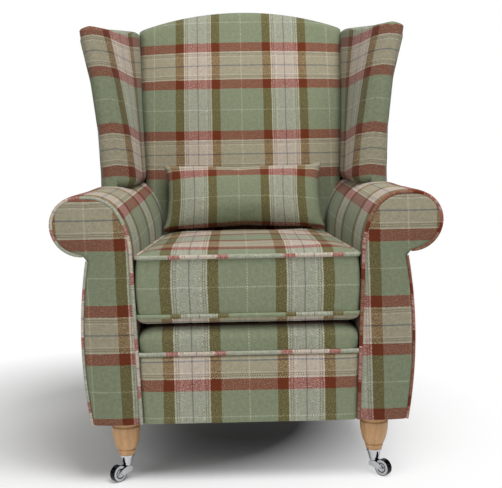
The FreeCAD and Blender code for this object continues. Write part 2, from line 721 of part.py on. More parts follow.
def piping_section(body, path, radius="pipe_r"):
    """A six-sided cord section at the start of a path, which keeps its facets few."""
    section = body.newObject("Sketcher::SketchObject", body.Label + "_section")
    section.AttachmentSupport = [(path, "Edge1")]
    section.MapMode = "NormalToEdge"
    route = []
    for corner in range(6):
        route.append((f"{radius} * cos({60 * corner})", f"{radius} * sin({60 * corner})"))
    return draw(section, route)


def piped(body, path, edges, radius="pipe_r"):
    """Sweep the cord section along a drawn path."""
    DOC.recompute()
    feature = body.newObject("PartDesign::AdditivePipe", body.Label + "_cord")
    feature.Profile = piping_section(body, path, radius)
    feature.Spine = (path, [f"Edge{number + 1}" for number in range(edges)])
    feature.Transition = "Right corner"
    body.Tip = feature
    return feature


def make_arm_piping():
    """Cords round the scroll and down the outer side of each arm front."""
    depth = "-(panel_t - pipe_r)"
    scroll = body_named("scroll_cord")
    path = sketch_on(scroll, "scroll_cord_path", "XZ_Plane", depth)
    draw(path, [("arm_foot_x + pipe_r", "base_z"), *scroll_route("pipe_r")], closed=False)
    piped(scroll, path, 6)
    side = body_named("side_cord")
    path = sketch_on(side, "side_cord_path", "XZ_Plane", depth)
    draw(path, side_line("pipe_r"), closed=False)
    piped(side, path, 1)
    keep_pair(group("arm_cords", [scroll, side]), "arm_front_piping")


def wing_outline(level):
    """Plan of the wing at one level: padded front, inner face, seam and rear."""
    out_x, peak_x = level_size(level, "out_x"), level_size(level, "peak_x")
    front_y, rear_x = level_size(level, "front_y"), level_size(level, "rear_x")
    z = level_size(level, "z")
    seam, wrap = seam_at(z), level_size(level, "wrap")
    rear = "(back_foot_y - cover_t - gap)"
    tuck = f"(post_y - web_gap) * (1 - {wrap}) + {rear} * {wrap}"
    return [
        (out_x, f"{front_y} + wing_edge"),
        (f"{out_x} * 0.7 + {peak_x} * 0.3", front_y),
        (f"{out_x} * 0.25 + {peak_x} * 0.75", f"{front_y} + wing_brow_set"),
        (peak_x, f"{front_y} + wing_peak_set"),
        (seam, level_size(level, "seam_y")),
        (seam, raked("post_y - web_gap", z)),
        (f"{seam} + wing_seam_in - wing_wrap_in * {wrap}", raked(tuck, z)),
        (f"{rear_x} - cover_t", raked(rear, z)),
        (f"{out_x} - cover_t", f"{front_y} + wing_edge + cover_t"),
    ]


def outside_strip(level):
    """Plan of the outside wing panel at one level."""
    out_x, rear_x = level_size(level, "out_x"), level_size(level, "rear_x")
    front_y, z = level_size(level, "front_y"), level_size(level, "z")
    rear_y = raked("back_foot_y - cover_t - gap", z)
    return [
        (out_x, f"{front_y} + wing_edge"),
        (f"{out_x} - cover_t", f"{front_y} + wing_edge + cover_t"),
        (f"{rear_x} - cover_t", rear_y),
        (rear_x, rear_y),
    ]


def board_outline(level):
    """Plan of the wing board inside the padding at one level."""
    out_x, rear_x = level_size(level, "out_x"), level_size(level, "rear_x")
    front_y, z = level_size(level, "front_y"), level_size(level, "z")
    rear_y = raked("back_foot_y - wing_board_rear", z)
    outer, rear_outer = f"{out_x} - wing_board_in", f"{rear_x} - wing_board_rear_in"
    start = f"{front_y} + wing_board_set"
    return [
        (outer, start),
        (f"{outer} - wing_board_t", f"{start} + wing_board_skew"),
        (f"{rear_outer} - wing_board_t", rear_y),
        (rear_outer, rear_y),
    ]


def faceted(name, sections):
    """A solid with flat facets between level outlines of equally many corners.

    Each four-cornered band is split from its lower front to its upper rear corner, so
    that neighbours sharing an outline share their facets too.
    """
    rings = []
    for level, route in sections:
        height = size_of(level_size(level, "z"))
        rings.append([FreeCAD.Vector(size_of(x), size_of(y), height) for x, y in route])
    facets = [rings[0] + rings[0][:1], rings[-1] + rings[-1][:1]]
    for low, high in zip(rings, rings[1:]):
        for index in range(len(low)):
            front, rear = sorted((index - 1, index), key=lambda corner: low[corner].y)
            facets.append([low[front], low[rear], high[rear], low[front]])
            facets.append([low[front], high[rear], high[front], low[front]])
    shell = Part.Shell([Part.Face(Part.makePolygon(facet)) for facet in facets])
    shell.sewShape()
    solid = Part.Solid(shell)
    if solid.Volume < 0:
        solid.reverse()
    piece = DOC.addObject("Part::Feature", name)
    piece.Shape = solid
    tie(piece, Placement__Base__y="-half_depth")
    return piece


def make_wings(arm):
    """Wing boards, their padding, outside panels and edge cords."""
    names = [level[0] for level in WING_LEVELS]
    block = faceted("wing_block", [(level, wing_outline(level)) for level in names])
    board = faceted("wing_board", [(level, board_outline(level)) for level in names[1:5]])
    outside = faceted("outside_wing_block", [(level, outside_strip(level)) for level in names])
    keep_pair(board, "wing_board")
    keep_pair(cut("wing_pad", block, board, arm), "wing_pad")
    keep_pair(cut("outside_wing", outside, arm), "outside_wing")
    make_wing_piping()


def make_wing_piping():
    """A cord up the outer front edge of the wing and straight back over its top edge."""
    stops = []
    for level in ("elbow", "waist", "shoulder", "crown"):
        out_x, front_y = level_size(level, "out_x"), level_size(level, "front_y")
        place = (f"{out_x} + wing_cord_out", f"{front_y} + wing_cord_back", level_size(level, "z"))
        stops.append(place)
    stops += [
        (
            "wing_brow_out_x + wing_cord_out",
            "wing_brow_front_y + wing_cord_brow",
            "wing_brow_z + wing_cord_rise",
        ),
        (
            "wing_cap_out_x + wing_cord_out",
            "wing_cap_front_y + wing_cord_turn",
            "wing_cap_z + wing_cord_rise",
        ),
        (
            "wing_cap_rear_x + wing_cord_out",
            raked("back_foot_y - wing_cord_end", "wing_cap_z"),
            "wing_cap_z + wing_cord_rise",
        ),
    ]
    places = [FreeCAD.Vector(*(size_of(value) for value in stop)) for stop in stops]
    spine = Part.makePolygon(places)
    ring = [places[0] + offset for offset in hexagon(size_of("pipe_r") - 1, places[1] - places[0])]
    sweep = Part.BRepOffsetAPI.MakePipeShell(spine)
    sweep.setTransitionMode(1)
    sweep.add(Part.makePolygon(ring + ring[:1]))
    sweep.build()
    sweep.makeSolid()
    cord = DOC.addObject("Part::Feature", "wing_cord")
    cord.Shape = sweep.shape()
    cord.Placement = FreeCAD.Placement(
        FreeCAD.Vector(0, -size_of("half_depth"), 0), FreeCAD.Rotation()
    )
    keep_pair(cord, "wing_piping")


def hexagon(radius, along):
    """Six points round a direction."""
    side = along.cross(FreeCAD.Vector(0, 1, 0)).normalize()
    up = side.cross(along).normalize()
    points = []
    for corner in range(6):
        angle = math.radians(60 * corner)
        points.append(side * (radius * math.cos(angle)) + up * (radius * math.sin(angle)))
    return points


def make_inside_back(arm, top_rail):
    """The padded back with its leaning face and arched, rounded top."""
    body = body_named("back_block")
    rear = "post_y - web_gap"
    wrap = "back_foot_y - cover_t - gap"
    high = "crest_z + 1"
    route = [
        ("back_seat_y - back_low_in", "back_low_z"),
        ("back_seat_y", "back_seat_z"),
        ("back_waist_y", "back_waist_z", "via"),
        ("back_brow_y", "back_brow_z"),
        (f"back_brow_y + ({high} - back_brow_z) * back_brow_run", high),
        (raked(wrap, high), high),
        (raked(wrap, "post_top_z"), "post_top_z"),
        (raked(rear, "post_top_z"), "post_top_z"),
        (raked(rear, "back_low_z"), "back_low_z"),
    ]
    sketch = draw(sketch_on(body, "back_side", "YZ_Plane"), route)
    pad(body, sketch, "2 * back_half_x", both_ways=True)
    low_edge = seam_at("back_low_z - 1")
    top_edge = seam_at("back_brow_z")
    arch = [
        (f"-{low_edge}", "back_low_z - 1"),
        (low_edge, "back_low_z - 1"),
        (top_edge, crest_at(top_edge)),
        ("0", "crest_z", "via"),
        (f"-{top_edge}", crest_at(top_edge)),
    ]
    sketch = draw(sketch_on(body, "back_arch", "XZ_Plane"), arch)
    draw(sketch, rectangle("-back_half_x - 20", "back_low_z - 40", "back_half_x + 20", "crest_z + 60"))
    DOC.recompute()
    trim = body.newObject("PartDesign::Pocket", "back_arch_cut")
    trim.Profile = sketch
    trim.Type = "ThroughAll"
    trim.Midplane = True
    body.Tip = trim
    DOC.recompute()
    crest_edges = []
    for number, edge in enumerate(trim.Shape.Edges, start=1):
        around = edge.BoundBox
        if around.XLength > size_of("back_half_x") and around.ZMax > size_of("crest_z") - 1:
            crest_edges.append((around.YMin, f"Edge{number}"))
    rounding = body.newObject("PartDesign::Fillet", "back_front_round")
    rounding.Base = (trim, [min(crest_edges)[1]])
    tie(rounding, Radius="crest_round")
    body.Tip = rounding
    others = [arm, mirrored("arm_tool", arm), top_rail]
    keep(cut("inside_back_block", body, *others), "inside_back")


def make_outside_back():
    """A thin raked panel behind the posts, with the arch of the crest."""
    body = body_named("outside_back")
    slope = "cos(back_rake)"
    high = f"(({crest_at('side_top_rear_x')} - base_z - cover_t) / {slope})"
    mid = f"((wing_elbow_z - base_z) / {slope})"
    route = [
        ("-side_foot_rear_x", "0"),
        ("side_foot_rear_x", "0"),
        ("wing_elbow_rear_x", mid),
        ("side_top_rear_x", high),
        ("0", f"(crest_z - base_z - cover_t) / {slope}", "via"),
        ("-side_top_rear_x", high),
        ("-wing_elbow_rear_x", mid),
    ]
    sketch = draw(sketch_on(body, "outside_back_face", "XZ_Plane", "cover_t"), route)
    pad(body, sketch, "cover_t", backward=True)
    tie(body, Placement__Base__y="back_foot_y - half_depth", Placement__Base__z="base_z")
    lean(body)
    keep(body, "outside_back")


def make_seat_front():
    """Front border, the piping above it, the padded lip and the seat platform."""
    border = body_named("front_border")
    half_low, half_high = "(arm_foot_x - gap)", "(arm_foot_x + pipe_r)"
    route = [
        (f"-{half_low}", "base_z"),
        (half_low, "base_z"),
        (half_high, "border_top_z"),
        (f"-{half_high}", "border_top_z"),
    ]
    sketch = draw(sketch_on(border, "front_border_face", "XZ_Plane", "-border_y"), route)
    pad(border, sketch, "panel_t + strap_set - gap - border_y", backward=True)
    keep(border, "front_border")

    band = body_named("front_border_piping")
    path = sketch_on(band, "front_border_cord_path", "XZ_Plane", "-(border_y + band_r)")
    height = "border_top_z + band_r"
    draw(path, [(f"-{half_high}", height), (half_high, height)], closed=False)
    piped(band, path, 1, "band_r")
    keep(band, "front_border_piping")

    lip = body_named("front_lip")
    low = "border_top_z + 2 * band_r + lip_clear"
    face = "border_y + lip_set"
    route = [
        (face, low),
        (face, "lip_top_z - lip_round_high"),
        (f"{face} + lip_round_deep / 4", "lip_top_z - lip_round_high * 0.3", "via"),
        (f"{face} + lip_round_deep", "lip_top_z"),
        (f"{face} + lip_deep", "lip_top_z"),
        (f"{face} + lip_deep", low),
    ]
    sketch = draw(sketch_on(lip, "front_lip_side", "YZ_Plane"), route)
    pad(lip, sketch, "2 * lip_half_x", both_ways=True)
    keep(lip, "front_lip")

    deck = body_named("seat_deck")
    route = [
        ("-lip_half_x", f"{face} + lip_deep + 2 * gap"),
        ("lip_half_x", f"{face} + lip_deep + 2 * gap"),
        ("seat_rear_half_x - pipe_r", "seat_rear_y + pipe_r"),
        ("-(seat_rear_half_x - pipe_r)", "seat_rear_y + pipe_r"),
    ]
    sketch = draw(sketch_on(deck, "seat_deck_plan", "XY_Plane", "rail_top_z + deck_clear"), route)
    pad(deck, sketch, "deck_top_z - rail_top_z - deck_clear")
    keep(deck, "seat_deck")


def make_dust_cover(bolts):
    """Black cloth tacked to the underside of the rails, with holes for the leg bolts."""
    body = body_named("dust_cover_sheet")
    half = "(side_foot_x - cover_t - 2 * gap)"
    rear_half = "(side_foot_rear_x - cover_t - 4 * gap)"
    front, rear = "panel_t + strap_set", "back_foot_y - cover_t - 2 * gap"
    route = [(f"-{half}", front), (half, front), (rear_half, rear), (f"-{rear_half}", rear)]
    sketch = draw(sketch_on(body, "dust_cover_plan", "XY_Plane", "base_z"), route)
    pad(body, sketch, "dust_t")
    keep(cut("dust_cover_drilled", body, bolts), "dust_cover")


# Loose cushions


def common(name, bodies):
    """What a plan, a front view and a side view of one form have in common."""
    form = DOC.addObject("Part::MultiCommon", name)
    form.Shapes = bodies
    return form


def make_seat_form():
    """Crowned cushion: drawn-in sides in plan, arched top and belly in both views."""
    plan = body_named("seat_plan")
    half_y = "((seat_front_y + seat_rear_y) / 2)"
    waist = "((seat_half_x + seat_rear_half_x) / 2 - seat_waist)"
    route = [
        ("-seat_half_x", "seat_front_y"),
        ("seat_half_x", "seat_front_y"),
        (waist, half_y, "via"),
        ("seat_rear_half_x", "seat_rear_y"),
        ("-seat_rear_half_x", "seat_rear_y"),
        (f"-{waist}", half_y, "via"),
    ]
    foot = "(seat_low_z - 2 * seat_belly)"
    sketch = draw(sketch_on(plan, "seat_plan_view", "XY_Plane", foot), route)
    pad(plan, sketch, f"seat_high_z + 2 * seat_crown - {foot}")
    views = [plan]
    for name, plane, low, high in (
        ("seat_front_view", "XZ_Plane", "-seat_half_x", "seat_half_x"),
        ("seat_side_view", "YZ_Plane", "seat_front_y", "seat_rear_y"),
    ):
        body = body_named(name)
        middle = f"({low} + {high}) / 2"
        route = [
            (low, "seat_low_z"),
            (middle, "seat_low_z - seat_belly", "via"),
            (high, "seat_low_z"),
            (high, "seat_high_z"),
            (middle, "seat_high_z + seat_crown", "via"),
            (low, "seat_high_z"),
        ]
        sketch = draw(sketch_on(body, name + "_line", plane), route)
        pad(body, sketch, "4 * seat_half_x + 2 * seat_front_y", both_ways=True)
        views.append(body)
    return common("seat_form", views)


def make_seat_cushion():
    """The cushion's foam block, its cover with two rows of piping, and its zip."""
    outer = make_seat_form()
    core = body_named("seat_cushion_core")
    skin = "seat_skin"
    route = [
        (f"-(seat_half_x - {skin} - seat_waist)", f"seat_front_y + {skin}"),
        (f"seat_half_x - {skin} - seat_waist", f"seat_front_y + {skin}"),
        (f"seat_rear_half_x - {skin} - seat_waist", f"seat_rear_y - {skin}"),
        (f"-(seat_rear_half_x - {skin} - seat_waist)", f"seat_rear_y - {skin}"),
    ]
    sketch = draw(sketch_on(core, "core_plan", "XY_Plane", "seat_low_z + pipe_r"), route)
    pad(core, sketch, "seat_high_z - seat_low_z - 2 * pipe_r")
    cords = []
    for name, height in (("upper", "seat_high_z"), ("lower", "seat_low_z")):
        body = body_named(f"{name}_cord")
        front, rear = "seat_front_y", "seat_rear_y - 4"
        half, rear_half = "(seat_half_x - pipe_r)", "(seat_rear_half_x - pipe_r)"
        route = [(f"-{rear_half}", rear), (f"-{half}", front), (half, front), (rear_half, rear)]
        path = sketch_on(body, f"{name}_cord_path", "XY_Plane", height)
        draw(path, route, closed=False)
        piped(body, path, 3, "(pipe_r - 0.5)")
        cords.append(body)
    piping = group("seat_cords", cords)
    keep(core, "seat_cushion_core")
    keep(piping, "seat_cushion_piping")
    keep(cut("seat_cover", outer, core, *cords), "seat_cushion_cover")
    tape = box(
        "zip_tape",
        ("-zip_long / 2 - zip_end", "seat_rear_y + gap / 5", "zip_z - zip_wide / 2"),
        ("zip_long + 2 * zip_end", "zip_tape_t", "zip_wide"),
    )
    keep(tape, "seat_zip")
    slider = box(
        "zip_slider",
        ("-zip_long / 2", "seat_rear_y + zip_tape_t + 3 * gap / 5", "zip_z - slider_wide / 2"),
        ("slider_long", "slider_t", "slider_wide"),
    )
    keep(slider, "seat_zip_slider")


def lumbar_view(name, role, route):
    """One view of the lumbar cushion's form, drawn about its own middle."""
    body = DOC.addObject("PartDesign::Body", name)
    sketch = draw(sketch_on(body, name + "_line", role), route)
    pad(body, sketch, "4 * lumbar_half_x", both_ways=True)
    place_lumbar(body)
    return body


def place_lumbar(body):
    tie(body, Placement__Base__y="lumbar_y - half_depth", Placement__Base__z="lumbar_z")
    lean(body, "lumbar_lean")


def make_lumbar():
    """A small knife-edged pillow with pointed corners, leaning on the back."""
    wide, tall, thick = "lumbar_half_x", "lumbar_half_z", "lumbar_thick"
    draw_in, edge = "lumbar_draw_in", "lumbar_edge"
    face = lumbar_view(
        "lumbar_face",
        "XZ_Plane",
        [
            (f"-{wide}", f"-{tall}"),
            ("0", f"-{tall} + {draw_in}", "via"),
            (wide, f"-{tall}"),
            (f"{wide} - {draw_in}", "0", "via"),
            (wide, tall),
            ("0", f"{tall} - {draw_in}", "via"),
            (f"-{wide}", tall),
            (f"-{wide} + {draw_in}", "0", "via"),
        ],
    )
    end = lumbar_view(
        "lumbar_end",
        "YZ_Plane",
        [
            (f"-{edge}", f"-{tall}"),
            (edge, f"-{tall}"),
            (thick, "0", "via"),
            (edge, tall),
            (f"-{edge}", tall),
            (f"-{thick}", "0", "via"),
        ],
    )
    plan = lumbar_view(
        "lumbar_plan",
        "XY_Plane",
        [
            (f"-{wide}", f"-{edge}"),
            ("0", f"-{thick} * lumbar_fullness", "via"),
            (wide, f"-{edge}"),
            (wide, edge),
            ("0", f"{thick} * lumbar_fullness", "via"),
            (f"-{wide}", edge),
        ],
    )
    fill = DOC.addObject("PartDesign::Body", "lumbar_fill")
    half_w, half_d = f"{wide} * fill_wide", f"{thick} * fill_deep"
    flat = rectangle(f"-{half_w}", f"-{half_d}", half_w, half_d)
    sketch = draw(sketch_on(fill, "lumbar_fill_plan", "XY_Plane"), flat)
    pad(fill, sketch, f"2 * {tall} * fill_tall", both_ways=True)
    place_lumbar(fill)
    keep(fill, "lumbar_cushion_fill")
    outer = common("lumbar_form", [face, end, plan])
    keep(cut("lumbar_shell", outer, fill), "lumbar_cushion_cover")


# Legs and castors


def make_bolts():
    """Hanger bolts that join the front legs to their corner blocks."""
    rods = []
    for side, x in (("right", "leg_x"), ("left", "-leg_x")):
        place = (x, "leg_y", "bolt_foot_z")
        rods.append(cylinder(f"bolt_{side}", "bolt_r", "bolt_top_z - bolt_foot_z", *place))
    return group("bolt_set", rods)


def make_front_legs(bolts):
    """Turned beech legs: top collar, full belly, lower groove and tapering foot."""
    body = body_named("front_leg_blank", "leg_y - half_depth")
    tie(body, Placement__Base__x="leg_x")
    foot = "leg_foot_z"
    ring, groove = f"{foot} + leg_ring_h", f"{foot} + leg_ring_h + leg_groove_h"
    brow, neck = f"{foot} + leg_brow_h", f"{foot} + leg_brow_h + leg_groove_h"
    route = [
        ("0", foot),
        ("leg_foot_r", foot),
        ("leg_ring_r", ring),
        ("leg_groove_r", ring),
        ("leg_groove_r", groove),
        ("leg_waist_r", groove),
        ("leg_belly_r", f"{foot} + leg_belly_h"),
        ("leg_brow_r", brow),
        ("leg_neck_r", brow),
        ("leg_neck_r", neck),
        ("leg_r", neck),
        ("leg_r", "base_z"),
        ("0", "base_z"),
    ]
    turned(body, route)
    legs = group("front_leg_pair", [body, mirrored("front_leg_twin", body)])
    keep(cut("front_legs_drilled", legs, bolts), "front_legs")


def tapered(name, plane, top, foot):
    """One view of a rear leg: its taper between two places along the plane's first axis."""
    body = body_named(name)
    route = [
        (f"{foot} - rear_leg_tip / 2", "glide_h"),
        (f"{foot} + rear_leg_tip / 2", "glide_h"),
        (f"{top} + rear_leg_top / 2", "base_z"),
        (f"{top} - rear_leg_top / 2", "base_z"),
    ]
    pad(body, draw(sketch_on(body, name + "_line", plane), route), "4 * rear_leg_y", both_ways=True)
    return body


def make_rear_legs():
    """Square rear legs that rake back and splay a little, on nylon glides."""
    foot_x, foot_y = "(rear_leg_x + rear_leg_out)", "(rear_leg_y + rear_leg_back)"
    views = [
        tapered("rear_leg_front_view", "XZ_Plane", "rear_leg_x", foot_x),
        tapered("rear_leg_side_view", "YZ_Plane", "rear_leg_y", foot_y),
    ]
    keep_pair(common("rear_leg", views), "rear_leg")
    glides = []
    for side, x in (("right", foot_x), ("left", f"-{foot_x}")):
        glides.append(cylinder(f"glide_{side}", "glide_r", "glide_h", x, foot_y, "0"))
    keep(group("glides", glides), "rear_glides")


def castor_body(name):
    """A body drawn about the swivel axis, with the wheel trailing along +X."""
    body = DOC.addObject("PartDesign::Body", name)
    body.Placement = FreeCAD.Placement(
        FreeCAD.Vector(), FreeCAD.Rotation(FreeCAD.Vector(0, 0, 1), 0)
    )
    tie(body, Placement__Base__x="leg_x", Placement__Base__y="leg_y - half_depth")
    tie(body, Placement__Rotation__Angle="castor_turn")
    return body


def make_castor_cups():
    """Chrome cups under the front legs, each bored for its swivel pin."""
    cup = castor_body("castor_cup")
    bore, roof, flange = "pin_r + run_gap", "leg_foot_z - cup_roof", "leg_foot_z - cup_flange_t"
    route = [
        (bore, "cup_foot_z"),
        ("cup_foot_r", "cup_foot_z"),
        ("cup_brow_r", flange),
        ("cup_flange_r", flange),
        ("cup_flange_r", "leg_foot_z"),
        ("0", "leg_foot_z"),
        ("0", roof),
        (bore, roof),
    ]
    turned(cup, route)
    keep(group("castor_cup_pair", [cup, mirrored("castor_cup_twin", cup)]), "castor_cups")


def make_axle(outer):
    """The pin through both cheeks of the fork, a little proud of them."""
    axle = castor_body("axle")
    sketch = sketch_on(axle, "axle_end", "XZ_Plane", f"-({outer} + 2 * gap)")
    middle = FreeCAD.Vector(size_of("castor_trail"), size_of("wheel_r"), 0)
    sketch.addGeometry(Part.Circle(middle, FreeCAD.Vector(0, 0, 1), size_of("axle_r")))
    tie_point(sketch, 0, 3, "castor_trail", "wheel_r")
    index = sketch.addConstraint(Sketcher.Constraint("Radius", 0, size_of("axle_r")))
    sketch.setExpression(f"Constraints[{index}]", bound("axle_r"))
    pad(axle, sketch, f"2 * ({outer} + 2 * gap)")
    return axle


def make_forks():
    """Horn-shaped forks that curve from the swivel back and down to the wheel's axle."""
    inner = "(wheel_half + fork_gap)"
    outer = f"({inner} + fork_t)"
    horn = castor_body("horn")
    hoop = [
        ("-horn_nose", "cup_foot_z - 3"),
        ("castor_trail * 0.55", "cup_foot_z - 1.5", "via"),
        ("castor_trail + 5.6", "wheel_r"),
        ("castor_trail + 0.6", "wheel_r - 5.4", "via"),
        ("castor_trail - 4", "wheel_r - 4.4"),
        ("8", "wheel_r - 2.4", "via"),
        ("-horn_nose", "wheel_r + 1"),
    ]
    sketch = draw(sketch_on(horn, "horn_side", "XZ_Plane"), hoop)
    pad(horn, sketch, f"2 * {outer}", both_ways=True)
    cheeks = castor_body("horn_inside")
    slot = rectangle("horn_open", f"-{inner}", "castor_trail + wheel_r", inner)
    sketch = draw(sketch_on(cheeks, "horn_slot", "XY_Plane"), slot)
    pad(cheeks, sketch, "leg_foot_z")
    axle = make_axle(outer)
    pin = castor_body("swivel_pin")
    race_top = "cup_foot_z - race_play"
    pin_top = "leg_foot_z - cup_roof - pin_play"
    route = [
        ("0", f"{race_top} - race_t"),
        ("race_r", f"{race_top} - race_t"),
        ("race_r", race_top),
        ("pin_r", race_top),
        ("pin_r", pin_top),
        ("0", pin_top),
    ]
    turned(pin, route)
    fork = DOC.addObject("Part::MultiFuse", "fork_whole")
    fork.Shapes = [cut("horn_open", horn, cheeks, axle), pin]
    fork.Refine = True
    keep_pair(fork, "castor_fork")
    keep_pair(axle, "castor_axle")


def make_wheels():
    """Plain wheels, bored for their axles."""
    wheel = castor_body("wheel")
    bore, face = "axle_r + run_gap", "wheel_half"
    half = [(bore, face), ("wheel_r", face)]
    route = [(f"castor_trail + {across}", along) for across, along in half]
    route += [(f"castor_trail + {across}", f"-({along})") for across, along in reversed(half)]
    sketch = draw(sketch_on(wheel, "wheel_profile", "XY_Plane", "wheel_r"), route)
    low, high = FreeCAD.Vector(0, -1, 0), FreeCAD.Vector(0, 1, 0)
    centre = sketch.addGeometry(Part.LineSegment(low, high), True)
    tie_point(sketch, centre, 1, "castor_trail", "-2 * wheel_half")
    tie_point(sketch, centre, 2, "castor_trail", "2 * wheel_half")
    feature = wheel.newObject("PartDesign::Revolution", "wheel_turned")
    feature.Profile = sketch
    feature.ReferenceAxis = (sketch, ["Axis0"])
    feature.Angle = 360
    wheel.Tip = feature
    keep_pair(wheel, "castor_wheel")


def make_castors():
    make_castor_cups()
    make_forks()
    make_wheels()


def check_model():
    """Stop on a failed object or a bad sub-part, before anything is written."""
    for thing in DOC.Objects:
        if "Invalid" in thing.State or "Error" in thing.State:
            raise RuntimeError(f"{thing.Label} failed: {thing.State}")
    for part in SUBPARTS:
        if part.Shape.isNull() or not part.Shape.isValid() or not part.Shape.Solids:
            raise RuntimeError(f"{part.Label} has no good solid")


def write_parts():
    os.makedirs("parts", exist_ok=True)
    for part in SUBPARTS:
        part.Shape.exportStep(f"parts/{part.Label}.step")
    print(len(SUBPARTS), "sub-parts written")


def main():
    fill_sheet()
    bolts = make_bolts()
    make_front_rail()
    make_back_rails()
    make_side_rails()
    stump = make_arm_stumps()
    make_arm_rails()
    make_back_posts()
    top_rail = make_top_rail()
    make_corner_blocks(bolts)
    make_webbing()
    arm = make_arms(stump)
    make_wings(arm)
    make_inside_back(arm, top_rail)
    make_outside_back()
    make_seat_front()
    make_dust_cover(bolts)
    make_seat_cushion()
    make_lumbar()
    make_front_legs(bolts)
    make_rear_legs()
    keep(bolts, "leg_bolts")
    make_castors()
    DOC.recompute()
    check_model()
    write_parts()


main()
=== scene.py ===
"""A fireside wing chair in woollen tartan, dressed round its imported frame."""

from __future__ import annotations

import json
import logging
import math
from dataclasses import dataclass
from enum import Enum

import bmesh
import bpy
import numpy as np
from bpy.types import Material, Mesh, Node, NodeSocket, NodeTree, Object
from mathutils import Matrix, Vector

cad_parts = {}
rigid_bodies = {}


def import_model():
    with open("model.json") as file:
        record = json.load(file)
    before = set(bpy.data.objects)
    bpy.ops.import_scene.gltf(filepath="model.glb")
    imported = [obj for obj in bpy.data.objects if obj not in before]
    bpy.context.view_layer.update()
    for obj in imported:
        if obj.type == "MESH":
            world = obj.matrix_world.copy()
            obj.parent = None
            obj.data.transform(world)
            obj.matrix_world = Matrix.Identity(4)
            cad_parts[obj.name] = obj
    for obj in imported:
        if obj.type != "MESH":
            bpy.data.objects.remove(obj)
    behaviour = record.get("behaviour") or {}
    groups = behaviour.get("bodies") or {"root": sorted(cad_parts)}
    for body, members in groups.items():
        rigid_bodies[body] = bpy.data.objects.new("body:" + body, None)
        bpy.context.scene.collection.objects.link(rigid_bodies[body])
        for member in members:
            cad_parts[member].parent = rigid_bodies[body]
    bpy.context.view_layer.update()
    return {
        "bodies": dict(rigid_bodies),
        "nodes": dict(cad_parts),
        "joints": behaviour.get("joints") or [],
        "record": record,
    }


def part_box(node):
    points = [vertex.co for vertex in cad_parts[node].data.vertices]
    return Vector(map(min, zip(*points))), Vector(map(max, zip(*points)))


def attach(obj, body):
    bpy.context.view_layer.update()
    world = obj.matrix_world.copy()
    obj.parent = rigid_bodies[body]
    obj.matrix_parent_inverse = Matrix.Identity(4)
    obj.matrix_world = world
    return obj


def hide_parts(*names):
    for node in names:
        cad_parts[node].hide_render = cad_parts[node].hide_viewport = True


LOG = logging.getLogger("fireside_chair")

MM = 0.001
HALF_DEPTH = 416.7  # arm fronts to the middle of the chair, as in the frame
SETT = 256.0  # one repeat of the tartan, in mm, both ways
HALF_SETT = SETT / 2
BACK_RAKE = math.tan(math.radians(10.4))
BASE_Z = 138.0  # underside of the upholstery
ARM_RUN_IN = 0.055  # how the arms draw together towards the back, in mm for each mm
ARM_RUN_UP = 0.018  # and how they rise
WELT_X = (277.0, 702.0, 0.0503)  # seam of wing and back: x, at this height, widening per mm
BEHIND = np.array([0.0, HALF_DEPTH, 0.0])  # the frame's middle, seen from the arm fronts

Outline = list[tuple]


def raked(y: float, z: float | np.ndarray) -> float | np.ndarray:
    """Depth of a plane with the rake of the back.

    Args:
        y: Its depth behind the arm fronts at the underside of the upholstery.
        z: The height or heights asked for.

    Returns:
        The depth at each height.
    """
    return y + (z - BASE_Z) * BACK_RAKE


def welt_x(z: float | np.ndarray) -> float | np.ndarray:
    """How far out the seam between wing and inside back lies at a height."""
    x, height, widening = WELT_X
    return x + (z - height) * widening


def eased(count: int) -> np.ndarray:
    """Shares from 0 to 1 that are closer together at both ends."""
    return 0.5 - 0.5 * np.cos(np.linspace(0, math.pi, count))


def linear(hex_colour: str) -> tuple[float, float, float, float]:
    """Turn an sRGB hex colour into linear light.

    Args:
        hex_colour: Six hex digits.

    Returns:
        Red, green, blue and alpha.
    """
    parts = [int(hex_colour[i : i + 2], 16) / 255 for i in (0, 2, 4)]
    light = [c / 12.92 if c <= 0.04045 else ((c + 0.055) / 1.055) ** 2.4 for c in parts]
    return (light[0], light[1], light[2], 1.0)


def arc_through(
    start: tuple[float, float], via: tuple[float, float], end: tuple[float, float], step: float
) -> list[tuple[float, float]]:
    """Points along the circle through three places.

    Args:
        start: First place.
        via: A place between the two ends.
        end: Last place.
        step: About how far apart the points are.

    Returns:
        The points after the start, the end included.
    """
    (ax, ay), (bx, by), (cx, cy) = start, via, end
    twice = 2 * (ax * (by - cy) + bx * (cy - ay) + cx * (ay - by))
    a2, b2, c2 = ax * ax + ay * ay, bx * bx + by * by, cx * cx + cy * cy
    ux = (a2 * (by - cy) + b2 * (cy - ay) + c2 * (ay - by)) / twice
    uy = (a2 * (cx - bx) + b2 * (ax - cx) + c2 * (bx - ax)) / twice
    radius = math.hypot(ax - ux, ay - uy)
    first = math.atan2(ay - uy, ax - ux)
    middle = (math.atan2(by - uy, bx - ux) - first) % math.tau
    sweep = (math.atan2(cy - uy, cx - ux) - first) % math.tau
    if middle > sweep:
        sweep -= math.tau
    count = max(2, int(abs(sweep) * radius / step))
    turns = [first + sweep * i / count for i in range(1, count + 1)]
    return [(ux + radius * math.cos(t), uy + radius * math.sin(t)) for t in turns]


def trace(route: Outline, step: float = 6.0) -> np.ndarray:
    """Follow a route of corners and arcs.

    Args:
        route: (x, y) corners, and (x, y, "via") where an arc bends between two corners.
        step: Spacing of the points.

    Returns:
        An array of points.
    """
    points = [route[0]]
    index = 1
    while index < len(route):
        last = points[-1]
        if len(route[index]) == 3:
            points += arc_through(last, route[index][:2], route[index + 1], step)
            index += 2
            continue
        goal = route[index]
        count = max(1, int(math.dist(last, goal) / step))
        for i in range(1, count + 1):
            share = i / count
            points.append((last[0] + (goal[0] - last[0]) * share, last[1] + (goal[1] - last[1]) * share))
        index += 1
    return np.array(points)


